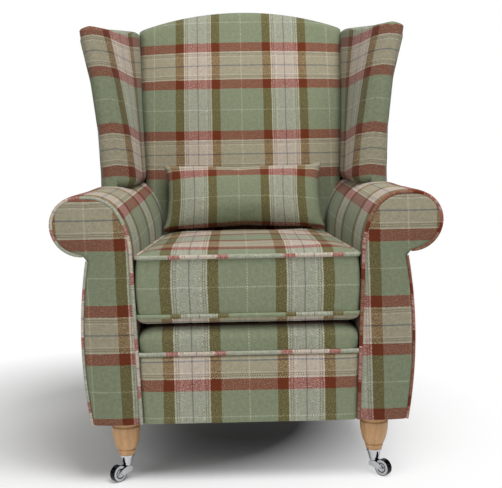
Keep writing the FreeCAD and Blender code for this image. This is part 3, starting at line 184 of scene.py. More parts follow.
def run_along(points: np.ndarray) -> np.ndarray:
    """Distance along a line of points from its start."""
    steps = np.linalg.norm(np.diff(points, axis=0), axis=-1)
    return np.concatenate([[0.0], np.cumsum(steps)])


def resample(points: np.ndarray, count: int) -> np.ndarray:
    """The same line with evenly spaced points."""
    run = run_along(points)
    goal = np.linspace(0, run[-1], count)
    return np.stack([np.interp(goal, run, points[:, k]) for k in range(points.shape[1])], axis=-1)


def laid(*places: np.ndarray | float) -> np.ndarray:
    """Points from their coordinates, which may have fewer axes than the grid they make."""
    return np.stack(np.broadcast_arrays(*places), axis=-1)


def grid_shares(rows: np.ndarray, cols: np.ndarray) -> tuple[np.ndarray, np.ndarray]:
    """Share up and share across for every point of a grid."""
    return np.meshgrid(rows, cols, indexing="ij")


def smooth(t: np.ndarray | float) -> np.ndarray | float:
    """Smooth step from 0 to 1."""
    t = np.clip(t, 0, 1)
    return t * t * (3 - 2 * t)


def edge_round(distance: np.ndarray | float, radius: float) -> np.ndarray | float:
    """How far a padded face falls back near its edge.

    Args:
        distance: Distance from the edge, in mm.
        radius: Radius of the rounding.

    Returns:
        From the radius at the edge itself down to 0 inside.
    """
    inside = np.clip(1 - distance / radius, 0, 1)
    return radius * (1 - np.sqrt(np.clip(1 - inside**2, 0, 1)))


def ripple(x: np.ndarray | float, y: np.ndarray | float, seed: float = 0.0) -> np.ndarray | float:
    """A gentle unevenness of stuffed cloth, between about -1 and 1.

    Args:
        x: Place across, in mm.
        y: Place along, in mm.
        seed: Shifts the waves so that pieces differ.

    Returns:
        The height of the waves.
    """
    a = np.sin(x / 61 + seed) * np.cos(y / 83 + 1.7 * seed)
    b = np.sin(x / 27 - y / 35 + 2.3 * seed)
    c = np.cos(x / 39 + y / 23 - seed)
    return 0.5 * a + 0.25 * b + 0.25 * c


@dataclass
class Patch:
    """A grid of points in mm with the cloth coordinates of each point."""

    points: np.ndarray
    weave: np.ndarray
    slot: int = 0

    def mirrored(self) -> Patch:
        """The left-hand twin, with its winding turned."""
        points = self.points * np.array([-1.0, 1.0, 1.0])
        return Patch(points[:, ::-1], self.weave[:, ::-1], self.slot)


def flat_patch(points: np.ndarray, across: int, along: int) -> Patch:
    """A patch whose cloth lies straight on two of the three axes.

    Args:
        points: The grid of points.
        across: Axis that counts as across the cloth.
        along: Axis that counts as along the cloth.

    Returns:
        The patch.
    """
    return Patch(points, points[..., [across, along]])


def build_piece(name: str, patches: list[Patch], materials: list[Material]) -> Object:
    """Weld patches into one piece with a cloth map.

    Args:
        name: Name of the piece.
        patches: Its patches, in mm behind the arm fronts.
        materials: Its materials, by slot.

    Returns:
        The new object.
    """
    mesh = bpy.data.meshes.new(name)
    cage = bmesh.new()
    layer = cage.loops.layers.uv.new("cloth")
    for patch in patches:
        rows, cols = patch.points.shape[:2]
        verts = [[cage.verts.new(p) for p in row] for row in (patch.points - BEHIND) * MM]
        for r in range(rows - 1):
            for c in range(cols - 1):
                corners = ((r, c), (r, c + 1), (r + 1, c + 1), (r + 1, c))
                face = cage.faces.new([verts[i][j] for i, j in corners])
                face.smooth = True
                face.material_index = patch.slot
                for loop, (i, j) in zip(face.loops, corners):
                    loop[layer].uv = patch.weave[i, j] / SETT
    bmesh.ops.remove_doubles(cage, verts=cage.verts, dist=0.02 * MM)
    bmesh.ops.dissolve_degenerate(cage, edges=cage.edges, dist=0.005 * MM)
    cage.to_mesh(mesh)
    cage.free()
    piece = bpy.data.objects.new(name, mesh)
    bpy.context.scene.collection.objects.link(piece)
    for material in materials:
        mesh.materials.append(material)
    return piece


def soften(piece: Object) -> Object:
    """Give a piece a subdivision surface."""
    modifier = piece.modifiers.new("rounding", "SUBSURF")
    modifier.levels = modifier.render_levels = 1
    modifier.uv_smooth = "PRESERVE_BOUNDARIES"
    return piece


def stuffed(piece: Object, pressure: float = 4.0, frames: int = 18) -> Mesh:
    """Blow a closed cover up as cloth, so that its seams draw in and crease.

    Args:
        piece: The flat cover.
        pressure: Push of the filling.
        frames: Steps the cloth is given.
    """
    modifier = piece.modifiers.new("stuffing", "CLOTH")
    cloth = modifier.settings
    cloth.quality = 7
    cloth.mass = 0.3
    cloth.tension_stiffness = cloth.compression_stiffness = 30.0
    cloth.shear_stiffness = 12.0
    cloth.bending_stiffness = 0.4
    cloth.use_pressure = True
    cloth.uniform_pressure_force = pressure
    cloth.effector_weights.gravity = 0.0
    modifier.point_cache.frame_start = 1
    modifier.point_cache.frame_end = frames
    scene = bpy.context.scene
    for frame in range(1, frames + 1):
        scene.frame_set(frame)
    shaped = piece.evaluated_get(bpy.context.evaluated_depsgraph_get())
    mesh = bpy.data.meshes.new_from_object(shaped)
    piece.modifiers.clear()
    piece.data = mesh
    scene.frame_set(1)
    return mesh


def finish_piece(
    piece: Object, body: str, nodes: tuple[str, ...] = ()
) -> Object:
    """Hand a piece to its body and hide the CAD nodes that it stands for.

    Args:
        piece: The piece.
        body: The body it moves with.
        nodes: CAD nodes that it stands for.

    Returns:
        The piece.
    """
    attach(piece, body)
    if nodes:
        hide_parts(*nodes)
    LOG.info("%s rides on %s", piece.name, body)
    return piece


def covered(
    name: str,
    patches: list[Patch],
    looks: list[Material],
    nodes: tuple[str, ...],
    body: str = "chair_frame",
) -> Object:
    """Make a padded piece in the chair's cloth.

    Args:
        name: Name of the piece.
        patches: Its patches.
        looks: Its materials, by slot.
        nodes: CAD nodes that it stands for.
        body: The body it moves with.

    Returns:
        The piece.
    """
    return finish_piece(build_piece(name, patches, looks), body, nodes)


# Finishes


def feed(tree: NodeTree, node: Node, links: dict | tuple) -> None:
    """Link or set inputs of a node.

    Args:
        tree: The material's node tree.
        node: The node.
        links: Input name or number to a value, a socket or a node, or the first inputs in order.
    """
    for name, value in links.items() if isinstance(links, dict) else enumerate(links):
        socket = node.inputs[name]
        if isinstance(value, Node):
            value = value.outputs[0]
        if isinstance(value, NodeSocket):
            tree.links.new(value, socket)
        else:
            socket.default_value = value


def add_node(tree: NodeTree, kind: str, links: dict | tuple = (), **settings) -> Node:
    """Add a node with its settings and links.

    Args:
        tree: The material's node tree.
        kind: Blender's name of the node, without its ShaderNode prefix, and after a dot
            what it works out.
        links: Its inputs, as for feed.
        **settings: Properties of the node itself.

    Returns:
        The new node.
    """
    kind, _, operation = kind.partition(".")
    node = tree.nodes.new("ShaderNode" + kind)
    if operation:
        node.operation = operation
    for name, value in settings.items():
        setattr(node, name, value)
    feed(tree, node, links)
    return node


def set_stops(node: Node, stops: list[tuple[float, tuple]], steps: bool = False) -> Node:
    """Fill a colour ramp with its stops."""
    ramp = node.color_ramp
    ramp.interpolation = "CONSTANT" if steps else "LINEAR"
    ramp.elements[1].position = stops[-1][0]
    ramp.elements[1].color = stops[-1][1]
    ramp.elements[0].position = stops[0][0]
    ramp.elements[0].color = stops[0][1]
    for place, colour in stops[1:-1]:
        ramp.elements.new(place).color = colour
    return node


def new_material(name: str) -> tuple[Material, NodeTree, Node]:
    """An empty material with its Principled shader, linked to the output."""
    material = bpy.data.materials.new(name)
    material.use_nodes = True
    tree = material.node_tree
    tree.nodes.clear()
    shader = add_node(tree, "BsdfPrincipled")
    add_node(tree, "OutputMaterial", {"Surface": shader})
    return material, tree, shader


@dataclass(frozen=True)
class TartanWool:
    """Milled woollen tartan, piece-dyed yarns woven two up, two down.

    The milled face gives a matt, slightly hairy surface with speckled mixing where two
    colours cross. Stripes are given in mm from the middle of a green field to the middle
    of the pale or stone band; both halves mirror.
    """

    sage: str = "808c7c"
    moss: str = "4a3510"
    duck_egg: str = "b8b8b9"
    sage_weft: str = "7b805c"
    brick: str = "7c1e06"
    stone: str = "b39c7e"
    cream: str = "f0ead6"
    ink: str = "4a4858"
    umber: str = "4f2f20"
    thread: float = 1.9  # drawn about twice as coarse as the cloth's real 1 mm, to show
    speck: float = 3.2  # size of the yarns' speckles, in mm
    tuft: float = 9.0  # size of the milled face's lighter and darker tufts

    def yarns(self) -> tuple[tuple[list, list], tuple[list, list]]:
        """Broad stripes and fine lines, for the warp and for the weft.

        Returns:
            For each, stops of (place, colour), and lines of ((place, width)s, colour,
            strength, whether the crossing threads break them), in mm.
        """
        warp_stripes = [
            (0.0, self.sage),
            (63.0, self.moss),
            (88.0, self.duck_egg),
            (HALF_SETT, self.duck_egg),
        ]
        warp_lines = [
            ([(92.6, 1.7), (98.0, 1.7)], self.umber, 0.95, True),
            ([(88.6, 2.6), (103.5, 1.8)], self.cream, 0.85, True),
            ([(0.6, 1.8)], self.cream, 0.5, True),
            ([(127.4, 1.6)], self.ink, 0.8, False),
        ]
        weft_stripes = [
            (0.0, self.sage_weft),
            (60.5, self.brick),
            (87.5, self.stone),
            (HALF_SETT, self.stone),
        ]
        weft_lines = [
            ([(93.2, 1.7), (97.6, 1.5)], self.umber, 0.95, True),
            ([(88.2, 2.2), (101.5, 1.6)], self.cream, 0.75, True),
            ([(0.6, 1.6)], self.cream, 0.4, True),
            ([(127.2, 2.0)], self.ink, 0.8, False),
        ]
        return (warp_stripes, warp_lines), (weft_stripes, weft_lines)

    def dyed(self, tree: NodeTree, fold, dash, stripes: list, lines: list) -> NodeSocket:
        """The colour of one set of yarns, stripes first and then the fine lines.

        Args:
            tree: The material's node tree.
            fold: Place in the half repeat, from 0 to 1.
            dash: Where the crossing threads let a fine line show.
            stripes: The broad stripes.
            lines: The fine lines.

        Returns:
            The colour.
        """
        stops = [(place / HALF_SETT, linear(colour)) for place, colour in stripes]
        shade = set_stops(add_node(tree, "ValToRGB", (fold,)), stops, steps=True).outputs[0]
        for places, colour, strength, broken in lines:
            mask = 0.0
            for place, width in places:
                off = add_node(tree, "Math.SUBTRACT", (fold, place / HALF_SETT))
                off = add_node(tree, "Math.ABSOLUTE", (off,))
                line = add_node(tree, "Math.LESS_THAN", (off, width / 2 / HALF_SETT))
                mask = add_node(tree, "Math.MAXIMUM", (mask, line))
            share = add_node(tree, "Math.MULTIPLY", (mask, dash if broken else 1.0))
            share = add_node(tree, "Math.MULTIPLY", (share, strength))
            paint = add_node(tree, "Mix", {0: share, 6: shade, 7: linear(colour)}, data_type="RGBA")
            shade = paint.outputs[2]
        return shade

    def build(self, name: str, painted_light_level: float = 0.93) -> Material:
        """Make the material.

        Args:
            name: Name of the material.
            painted_light_level: Brightness painted into this copy of the cloth against the others; lower
                values are painted shade.

        Returns:
            The material.
        """
        material, tree, shader = new_material(name)
        cloth_map = add_node(tree, "UVMap", uv_map="cloth")
        part = add_node(tree, "SeparateXYZ", (cloth_map,))
        places = part.outputs[0], part.outputs[1]
        wander = add_node(tree, "TexNoise", {"Vector": cloth_map, "Scale": 3.0, "Detail": 2.0})
        shift = add_node(tree, "Math.SUBTRACT", (wander, 0.5))
        shift = add_node(tree, "Math.MULTIPLY", (shift, 0.012))
        threads = SETT / self.thread
        folds, dashes = [], []
        for place in places:
            fold = add_node(tree, "Math.ADD", (place, shift))
            fold = add_node(tree, "Math.PINGPONG", (fold, 0.5))
            folds.append(add_node(tree, "Math.MULTIPLY", (fold, 2.0)))
            beat = add_node(tree, "Math.MULTIPLY", (place, 2.2 * threads))
            beat = add_node(tree, "Math.SINE", (beat,))
            dashes.append(add_node(tree, "Math.GREATER_THAN", (beat, -0.35)))
        warp, weft = self.yarns()
        to_eye = 1 / 2.2  # yarns mix to the eye in gamma space
        eye_warp = add_node(tree, "Gamma", (self.dyed(tree, folds[0], dashes[1], *warp), to_eye))
        eye_weft = add_node(tree, "Gamma", (self.dyed(tree, folds[1], dashes[0], *weft), to_eye))

        grain = {"Scale": SETT / self.speck, "Detail": 3.0, "Roughness": 0.7}
        speck = add_node(tree, "TexNoise", {"Vector": cloth_map, **grain})
        twill = add_node(tree, "Math.ADD", places)
        twill = add_node(tree, "Math.MULTIPLY", (twill, math.pi * threads))
        twill = add_node(tree, "Math.SINE", (twill,))
        share = add_node(tree, "Math.SUBTRACT", (speck, 0.5))
        share = add_node(tree, "Math.MULTIPLY_ADD", (share, 2.2, 0.53))
        share = add_node(tree, "Math.MULTIPLY_ADD", (twill, 0.1, share))
        mixed = add_node(tree, "Mix", {0: share, 6: eye_warp, 7: eye_weft}, data_type="RGBA")
        cloth = add_node(tree, "Gamma", (mixed.outputs[2], 1 / to_eye))
        fluff = {"Scale": SETT / self.tuft, "Detail": 4.0, "Roughness": 0.75}
        tufts = add_node(tree, "TexNoise", {"Vector": cloth_map, **fluff})
        # Random lighter and darker tufts, times this copy's painted light level; a low level is painted
        # shade.
        tufts_and_painted_light = add_node(tree, "Math.SUBTRACT", (tufts, 0.5))
        tufts_and_painted_light = add_node(tree, "Math.MULTIPLY_ADD", (tufts_and_painted_light, 0.7, painted_light_level))
        final = add_node(tree, "VectorMath.SCALE", {0: cloth, "Scale": tufts_and_painted_light})

        rows = add_node(tree, "Math.MULTIPLY", (places[1], 2 * math.pi * threads))
        rows = add_node(tree, "Math.SINE", (rows,))
        height = add_node(tree, "Math.MULTIPLY", (rows, 0.25))
        height = add_node(tree, "Math.MULTIPLY_ADD", (twill, 0.5, height))
        height = add_node(tree, "Math.MULTIPLY_ADD", (speck, 1.6, height))
        bump = add_node(tree, "Bump", {"Strength": 0.32, "Distance": 0.0009, "Height": height})
        hairy = {"Roughness": 0.92, "Sheen Weight": 0.08, "Sheen Roughness": 0.55}
        looks = {"Base Color": final, "Normal": bump, "Specular IOR Level": 0.25}
        feed(tree, shader, {**looks, **hairy})
        return material


@dataclass(frozen=True)
class TurnedBeech:
    """Steamed beech under clear satin lacquer: pale tan with short dark flecks."""

    pale: str = "c99f70"
    deep: str = "b08455"
    fleck: str = "9a7347"

    def build(self, name: str) -> Material:
        """Make the material, with its grain along Z."""
        material, tree, shader = new_material(name)
        spot = add_node(tree, "TexCoord").outputs["Object"]
        squeeze = add_node(tree, "Mapping", {"Vector": spot, "Scale": (90, 90, 9)})
        fibre = {"Scale": 1.0, "Detail": 5.0, "Roughness": 0.6}
        grain = add_node(tree, "TexNoise", {"Vector": squeeze, **fibre})
        stops = [(0.3, linear(self.deep)), (0.7, linear(self.pale))]
        wood = set_stops(add_node(tree, "ValToRGB", (grain,)), stops)
        thin = add_node(tree, "Mapping", {"Vector": spot, "Scale": (900, 900, 110)})
        flecks = add_node(tree, "TexNoise", {"Vector": thin, "Scale": 1.0, "Detail": 1.0})
        marks = add_node(tree, "Math.GREATER_THAN", (flecks, 0.62))
        marks = add_node(tree, "Math.MULTIPLY", (marks, 0.35))
        colour = add_node(tree, "Mix", {0: marks, 6: wood, 7: linear(self.fleck)}, data_type="RGBA")
        bump = add_node(tree, "Bump", {"Strength": 0.08, "Distance": 0.0004, "Height": grain})
        lacquer = {"Roughness": 0.42, "Coat Weight": 0.15, "Coat Roughness": 0.3}
        feed(tree, shader, {"Base Color": colour.outputs[2], "Normal": bump, **lacquer})
        return material


@dataclass(frozen=True)
class PolishedMetal:
    """Chrome plate or bright steel: clear reflections, a little hazy from handling."""

    tone: str = "c9cacd"
    roughness: float = 0.1

    def build(self, name: str) -> Material:
        """Make the material."""
        material, tree, shader = new_material(name)
        spot = add_node(tree, "TexCoord").outputs["Object"]
        haze = add_node(tree, "TexNoise", {"Vector": spot, "Scale": 160.0, "Detail": 3.0})
        level = add_node(tree, "Math.MULTIPLY_ADD", (haze, 0.1, self.roughness - 0.05))
        feed(tree, shader, {"Base Color": linear(self.tone), "Metallic": 1.0, "Roughness": level})
        return material


@dataclass(frozen=True)
class RingedWheel:
    """A plated wheel with dark rings at its hub, half way out and at its rim.

    The rings are laid by the distance from the axle, in mm, so they turn with it.
    """

    bright: str = "b9bbbe"
    dark: str = "101012"
    reach: float = 20.0  # a little more than the wheel's radius

    def build(self, name: str, centre: Vector, axis: Vector) -> Material:
        """Make the material.

        Args:
            name: Name of the material.
            centre: The middle of the wheel, in metres.
            axis: Its axle's direction.

        Returns:
            The material.
        """
        material, tree, shader = new_material(name)
        spot = add_node(tree, "TexCoord").outputs["Object"]
        away = add_node(tree, "VectorMath.SUBTRACT", (spot, tuple(centre)))
        away = add_node(tree, "VectorMath.CROSS_PRODUCT", (away, tuple(axis)))
        out = add_node(tree, "VectorMath.LENGTH", (away,)).outputs["Value"]
        share = add_node(tree, "Math.DIVIDE", (out, self.reach * MM))
        bright, dark = linear(self.bright), linear(self.dark)
        stops = [(0.0, dark), (0.2, bright), (0.46, dark), (0.58, bright), (0.88, dark), (1.0, dark)]
        rings = set_stops(add_node(tree, "ValToRGB", (share,)), stops, steps=True)
        feed(tree, shader, {"Base Color": rings, "Metallic": 0.9, "Roughness": 0.16})
        return material


@dataclass(frozen=True)
class PlainStuff:
    """A plain matt stuff, such as black lining cloth, nylon or rubber, with a fine tooth."""

    tone: str
    roughness: float = 0.8
    tooth: float = 900.0

    def build(self, name: str) -> Material:
        """Make the material."""
        material, tree, shader = new_material(name)
        spot = add_node(tree, "TexCoord").outputs["Object"]
        grit = add_node(tree, "TexNoise", {"Vector": spot, "Scale": self.tooth, "Detail": 2.0})
        dark, light = linear(self.tone), tuple(min(1.0, 1.5 * c) for c in linear(self.tone))
        shade = set_stops(add_node(tree, "ValToRGB", (grit,)), [(0.3, dark), (0.7, light)])
        bump = add_node(tree, "Bump", {"Strength": 0.2, "Distance": 0.0003, "Height": grit})
        feed(tree, shader, {"Base Color": shade, "Normal": bump, "Roughness": self.roughness})
        return material


class Strip(Enum):
    """Where a piping's strip is cut: whether it runs with the warp, and its middle in mm."""

    PALE = (True, 108.0)
    LINED = (True, 92.0)
    RUSSET = (False, 78.0)
    SAGE = (False, 44.0)


class Side(Enum):
    """The chair's two sides, seen from the front."""

    RIGHT = 1
    LEFT = -1

    @property
    def word(self) -> str:
        """The side as it stands in node names."""
        return self.name.lower()

    @property
    def flip(self) -> np.ndarray:
        """What a point drawn for the right is multiplied by."""
        return np.array([float(self.value), 1.0, 1.0])

    def place(self, *patches: Patch) -> list[Patch]:
        """Patches drawn for the right, on this side."""
        return list(patches) if self is Side.RIGHT else [patch.mirrored() for patch in patches]


@dataclass
class Finishes:
    """Every material of the chair."""

    tartan: Material
    # shaded and fronts: darker copies of the tartan, painted shade for the wings and the arm fronts.
    shaded: Material
    fronts: Material
    welt: Material
    beech: Material
    chrome: Material
    steel: Material
    lining: Material
    nylon: Material
    timber: Material

    @classmethod
    def make(cls) -> Finishes:
        """Build them all."""
        return cls(
            tartan=TartanWool().build("tartan_wool"),
            # painted shade: the wings' and the arm fronts' copies of the cloth are made darker than the
            # rest.
            shaded=TartanWool().build("tartan_wool_wings_painted_shade", 0.7),
            fronts=TartanWool().build("tartan_wool_fronts_painted_shade", 0.82),
            welt=TartanWool().build("tartan_wool_strips", 1.0),
            beech=TurnedBeech().build("turned_beech"),
            chrome=PolishedMetal().build("chrome_plate"),
            steel=PolishedMetal(tone="a9aaac", roughness=0.3).build("bright_steel"),
            lining=PlainStuff(tone="0d0d0e").build("black_lining"),
            nylon=PlainStuff(tone="141414", roughness=0.5).build("black_nylon"),
            timber=TurnedBeech(pale="b99468", deep="9d7a4e", fleck="86643d").build("sawn_beech"),
        )


# Shared forms


def swept_cord(
    name: str,
    line: np.ndarray,
    radius: float,
    material: Material,
    strip: Strip,
    closed: bool = False,
) -> Object:
    """A piping cord: a strip of cloth over a round cord, with its stitched flange tucked in.

    Args:
        name: Name of the piece.
        line: Points in mm that the cord's middle follows.
        radius: Radius of the cord.
        material: Its cloth.
        strip: Where on the cloth its strip was cut.
        closed: True if the line joins up.

    Returns:
        The cord.
    """
    count = max(8, int(run_along(line)[-1] / 5))
    line = resample(line, count)
    run = run_along(line)
    if closed:
        ahead = np.roll(line[:-1], -1, axis=0) - np.roll(line[:-1], 1, axis=0)
        ahead = np.concatenate([ahead, ahead[:1]])
    else:
        ahead = np.gradient(line, axis=0)
    ahead /= np.linalg.norm(ahead, axis=1)[:, None]
    askew = np.array([0.31, 0.83, 0.46])  # along no cord's start
    side = np.cross(ahead[0], askew)
    rings = []
    turns = np.linspace(0, math.tau, 11)
    for index in range(len(line)):
        side = side - ahead[index] * np.dot(side, ahead[index])
        side /= np.linalg.norm(side)
        up = np.cross(ahead[index], side)
        ring = line[index] + radius * (np.cos(turns)[:, None] * side + np.sin(turns)[:, None] * up)
        rings.append(ring)
    with_warp, middle = strip.value
    along, across = run[:, None], middle + radius * np.sin(turns)
    weave = laid(across, along) if with_warp else laid(along, across)
    return build_piece(name, [Patch(np.array(rings), weave)], [material])


def lathed(
    name: str, profile: Outline, centre: tuple[float, float], material: Material
) -> Object:
    """A turned piece with an upright axis.

    Args:
        name: Name of the piece.
        profile: (radius, z) corners and arcs.
        centre: (x, depth behind the arm fronts) of the axis.
        material: Its material.

    Returns:
        The piece.
    """
    line = trace(profile, 1.6)
    turns = np.linspace(0, math.tau, 65)
    radius, z = line[:, :1], line[:, 1:]
    points = laid(centre[0] + radius * np.cos(turns), centre[1] + radius * np.sin(turns), z)
    return build_piece(name, [Patch(points, laid(turns * 30, z))], [material])


def scroll_outline(inset: float = 0.0) -> Outline:
    """The scroll of an arm front, from the springing of its inner face to under the roll.

    Args:
        inset: How far inside the arm's own outline.

    Returns:
        A route in the plane of the arm front, (x, z).
    """
    turn = math.radians(30)
    spring, shoulder_r, brow_r = 520.0, 185.0, 82.0
    centre_x = 254 + shoulder_r
    reach = shoulder_r - inset
    brow_x = centre_x - (shoulder_r - brow_r) * math.cos(turn)
    brow_z = spring + (shoulder_r - brow_r) * math.sin(turn)
    brow, half_way = brow_r - inset, math.radians(60)
    roll_x, under_x, mid_z = 370.0, 364.0, 588.0
    top, low = 65.0 - inset, 71.0 - inset
    slant = math.sqrt(0.5)
    return [
        (254 + inset, spring),
        (centre_x - reach * math.cos(turn / 2), spring + reach * math.sin(turn / 2), "via"),
        (centre_x - reach * math.cos(turn), spring + reach * math.sin(turn)),
        (brow_x - brow * math.cos(half_way), brow_z + brow * math.sin(half_way), "via"),
        (brow_x, 653.0 - inset),
        (roll_x, 653.0 - inset),
        (roll_x + top * slant, mid_z + top * slant, "via"),
        (435.0 - inset, mid_z),
        (under_x + low * slant, mid_z - low * slant, "via"),
        (under_x, mid_z - low),
    ]


def side_outline(inset: float = 0.0) -> Outline:
    """The bellied outer side of an arm front, from the notch down."""
    return [(357.0 - inset, 508.0), (372.0 - inset, 340.0, "via"), (356.0 - inset, BASE_Z)]


def distance_to(points: np.ndarray, line: np.ndarray) -> np.ndarray:
    """Distance from each 2-D point to a line of points."""
    flat = points.reshape(-1, 2)
    best = np.full(len(flat), 1e9)
    for a, b in zip(line[:-1], line[1:]):
        d = b - a
        t = np.clip(((flat - a) @ d) / max(d @ d, 1e-9), 0, 1)
        best = np.minimum(best, np.linalg.norm(flat - (a + t[:, None] * d), axis=1))
    return best.reshape(points.shape[:-1])


def scanned(line: np.ndarray, low: float, high: float, rows: int, cols: int) -> np.ndarray:
    """Fill a closed outline with a grid of rows from side to side.

    Args:
        line: The outline's points, (x, z); each height crosses it just twice.
        low: Height of the first row.
        high: Height of the last row.
        rows: Number of rows.
        cols: Points in a row.

    Returns:
        A rows by cols grid of (x, z).
    """
    heights = low + (high - low) * eased(rows)
    grid = np.zeros((rows, cols, 2))
    share = eased(cols)
    closed = np.concatenate([line, line[:1]])
    for index, height in enumerate(np.clip(heights, low + 0.01, high - 0.01)):
        hits = []
        for a, b in zip(closed[:-1], closed[1:]):
            if (a[1] - height) * (b[1] - height) < 0:
                hits.append(a[0] + (b[0] - a[0]) * (height - a[1]) / (b[1] - a[1]))
        left, right = min(hits), max(hits)
        grid[index, :, 0] = left + (right - left) * share
        grid[index, :, 1] = height
    return grid


@dataclass
class Sided:
    """A part of the frame that has a mirrored twin."""

    side: Side
    looks: Finishes

    def cover(
        self, name: str, patches: list[Patch], looks: list[Material], node: str, fill: float
    ) -> Object:
        """Make a padded piece of this side that stands for one node."""
        word = self.side.word
        return covered(f"{name}_{word}", self.side.place(*patches), looks, (f"{node}_{word}",))

    def cord(
        self,
        name: str,
        line: np.ndarray,
        radius: float,
        look: Material,
        strip: Strip,
        *nodes: str,
    ) -> Object:
        """Make a piping cord of this side from a line drawn for the right."""
        word = self.side.word
        piece = swept_cord(f"{name}_{word}", line * self.side.flip, radius, look, strip)
        return finish_piece(piece, "chair_frame", tuple(f"{n}_{word}" for n in nodes))


@dataclass
class Arm(Sided):
    """One scroll arm: roll, padded front with its piping, and outside panel."""

    sage_z: float = 470.5  # height at which the cloth's sage field has its middle
    sage_x: float = 357.0  # and how far out that middle is, at the scroll
    cut_slope: float = 0.018  # the cloth's slight turn, in mm for each mm down
    start: float = 5.0  # depth at which the roll's cloth starts
    cord_y: float = 6.5  # depth of the piping's middle
    roll_across: float = 53.0  # cloth place of the roll's start
    roll_sage: float = 239.0  # run up the inner face to the middle of a sage field
    roll_creep: float = 0.045  # how the cloth creeps along the roll, in mm for each mm
    outside_across: float = 40.0  # cloth place of the outside panel's start

    def roll(self) -> None:
        """Inside arm and scroll, pulled over the stump and round under the roll."""
        section = trace([(247.5, 306.0), *scroll_outline(), (357.0, 508.0)], 6.0)
        run = run_along(section)
        slope = np.gradient(section, axis=0)
        normal = laid(-slope[:, 1], slope[:, 0])
        normal /= np.linalg.norm(normal, axis=1)[:, None]
        depth = self.start + (raked(644.0, section[:, 1]) - self.start) * np.linspace(0, 1, 60)[:, None]
        tuck = edge_round(depth - 4, 9.0)
        puff = 1.4 * ripple(depth, run, 1.0) * smooth(depth / 60)
        places = section + (puff - tuck)[..., None] * normal
        x = places[..., 0] - ARM_RUN_IN * (depth - 12)
        z = places[..., 1] + ARM_RUN_UP * (depth - 12)
        points = laid(x, depth, z)
        weave = laid(depth + self.roll_across, run - self.roll_sage - self.roll_creep * (depth - 75))
        hidden = np.linspace(points[:, -1], points[:, 0], 6).transpose(1, 0, 2)
        rim = points[-1]
        middle = np.array([330.0, rim[:, 1].mean(), 560.0])
        lid = np.linspace(rim, np.repeat(middle[None], len(rim), axis=0), 8)
        patches = [Patch(points, weave), flat_patch(hidden, 1, 2), flat_patch(lid, 0, 2)]
        self.cover("arm_roll", patches, [self.looks.tartan], "arm_pad", 0.75)

    def front(self) -> None:
        """The padded arm front inside its piping."""
        inset = 5.5
        line = trace([(240 + inset, BASE_Z), *scroll_outline(inset), *side_outline(inset)], 5.0)
        grid = scanned(line, BASE_Z + 0.5, 653 - inset, 64, 30)
        x, z = grid[..., 0], grid[..., 1]
        gap = distance_to(grid, line)
        depth = 1.0 + edge_round(gap, 9.0) - 5.0 * smooth(gap / 50)
        depth = depth + 0.8 * ripple(x, z, 3.0) * smooth(gap / 30)
        weave = laid(x - self.sage_x + self.cut_slope * (620 - z), z - self.sage_z)
        patches = [Patch(laid(x, depth, z), weave)]
        # painted shade: the arm front takes a darker copy of the cloth.
        self.cover("arm_front", patches, [self.looks.fronts], "arm_front_panel", 0.5)

    def piping(self) -> None:
        """The cord up the inner edge, over the scroll and under it, and one down the side."""
        outline = trace([(240 + 4.5, BASE_Z), *scroll_outline(4.5)], 4.0)
        other = trace(side_outline(2.6), 4.0)
        up, down = (laid(line[:, 0], self.cord_y, line[:, 1]) for line in (outline, other))
        strip = Strip.LINED if self.side is Side.LEFT else Strip.RUSSET
        self.cord("scroll_piping", up, 4.4, self.looks.welt, strip, "arm_front_piping")
        self.cord("side_piping", down, 3.5, self.looks.welt, strip)

    def outside(self) -> None:
        """The outside arm panel, with the belly of the arm front."""
        x, z = trace([(351.0, BASE_Z), (367.0, 340.0, "via"), (352.0, 510.0)], 8.0).T
        start, share = self.start + 2, np.linspace(0, 1, 48)[:, None]
        depth = start + (raked(646.0, z) - start) * share
        fall = edge_round(np.minimum(depth - 6, 400), 8.0)
        bulge = 2.0 * np.sin(math.pi * share) * np.sin(math.pi * (z - BASE_Z) / 370).clip(0)
        points = laid(x - fall + bulge - ARM_RUN_IN * (depth - 12), depth, z)
        weave = laid(depth + self.outside_across, z - self.sage_z)
        patches = [Patch(points, weave)]
        self.cover("outside_arm_cloth", patches, [self.looks.tartan], "outside_arm", 0.3)

    def build(self) -> None:
        """Make every piece of the arm."""
        self.roll()
        self.front()
        self.piping()
        self.outside()


WING_LEVELS = np.array(
    # height, outer edge, inner peak, front edge, seam depth, outer rear edge
    [
        (640.0, 361.0, 274.0, 322.0, 588.0, 320.0),
        (690.0, 363.0, 278.0, 338.0, 598.0, 320.0),
        (800.0, 372.0, 295.0, 371.0, 625.0, 321.0),
        (925.0, 392.0, 321.0, 409.0, 661.0, 323.0),
        (1035.0, 420.0, 346.0, 442.0, 700.0, 325.0),
        (1092.0, 430.0, 362.0, 459.0, 722.0, 325.0),
    ]
)


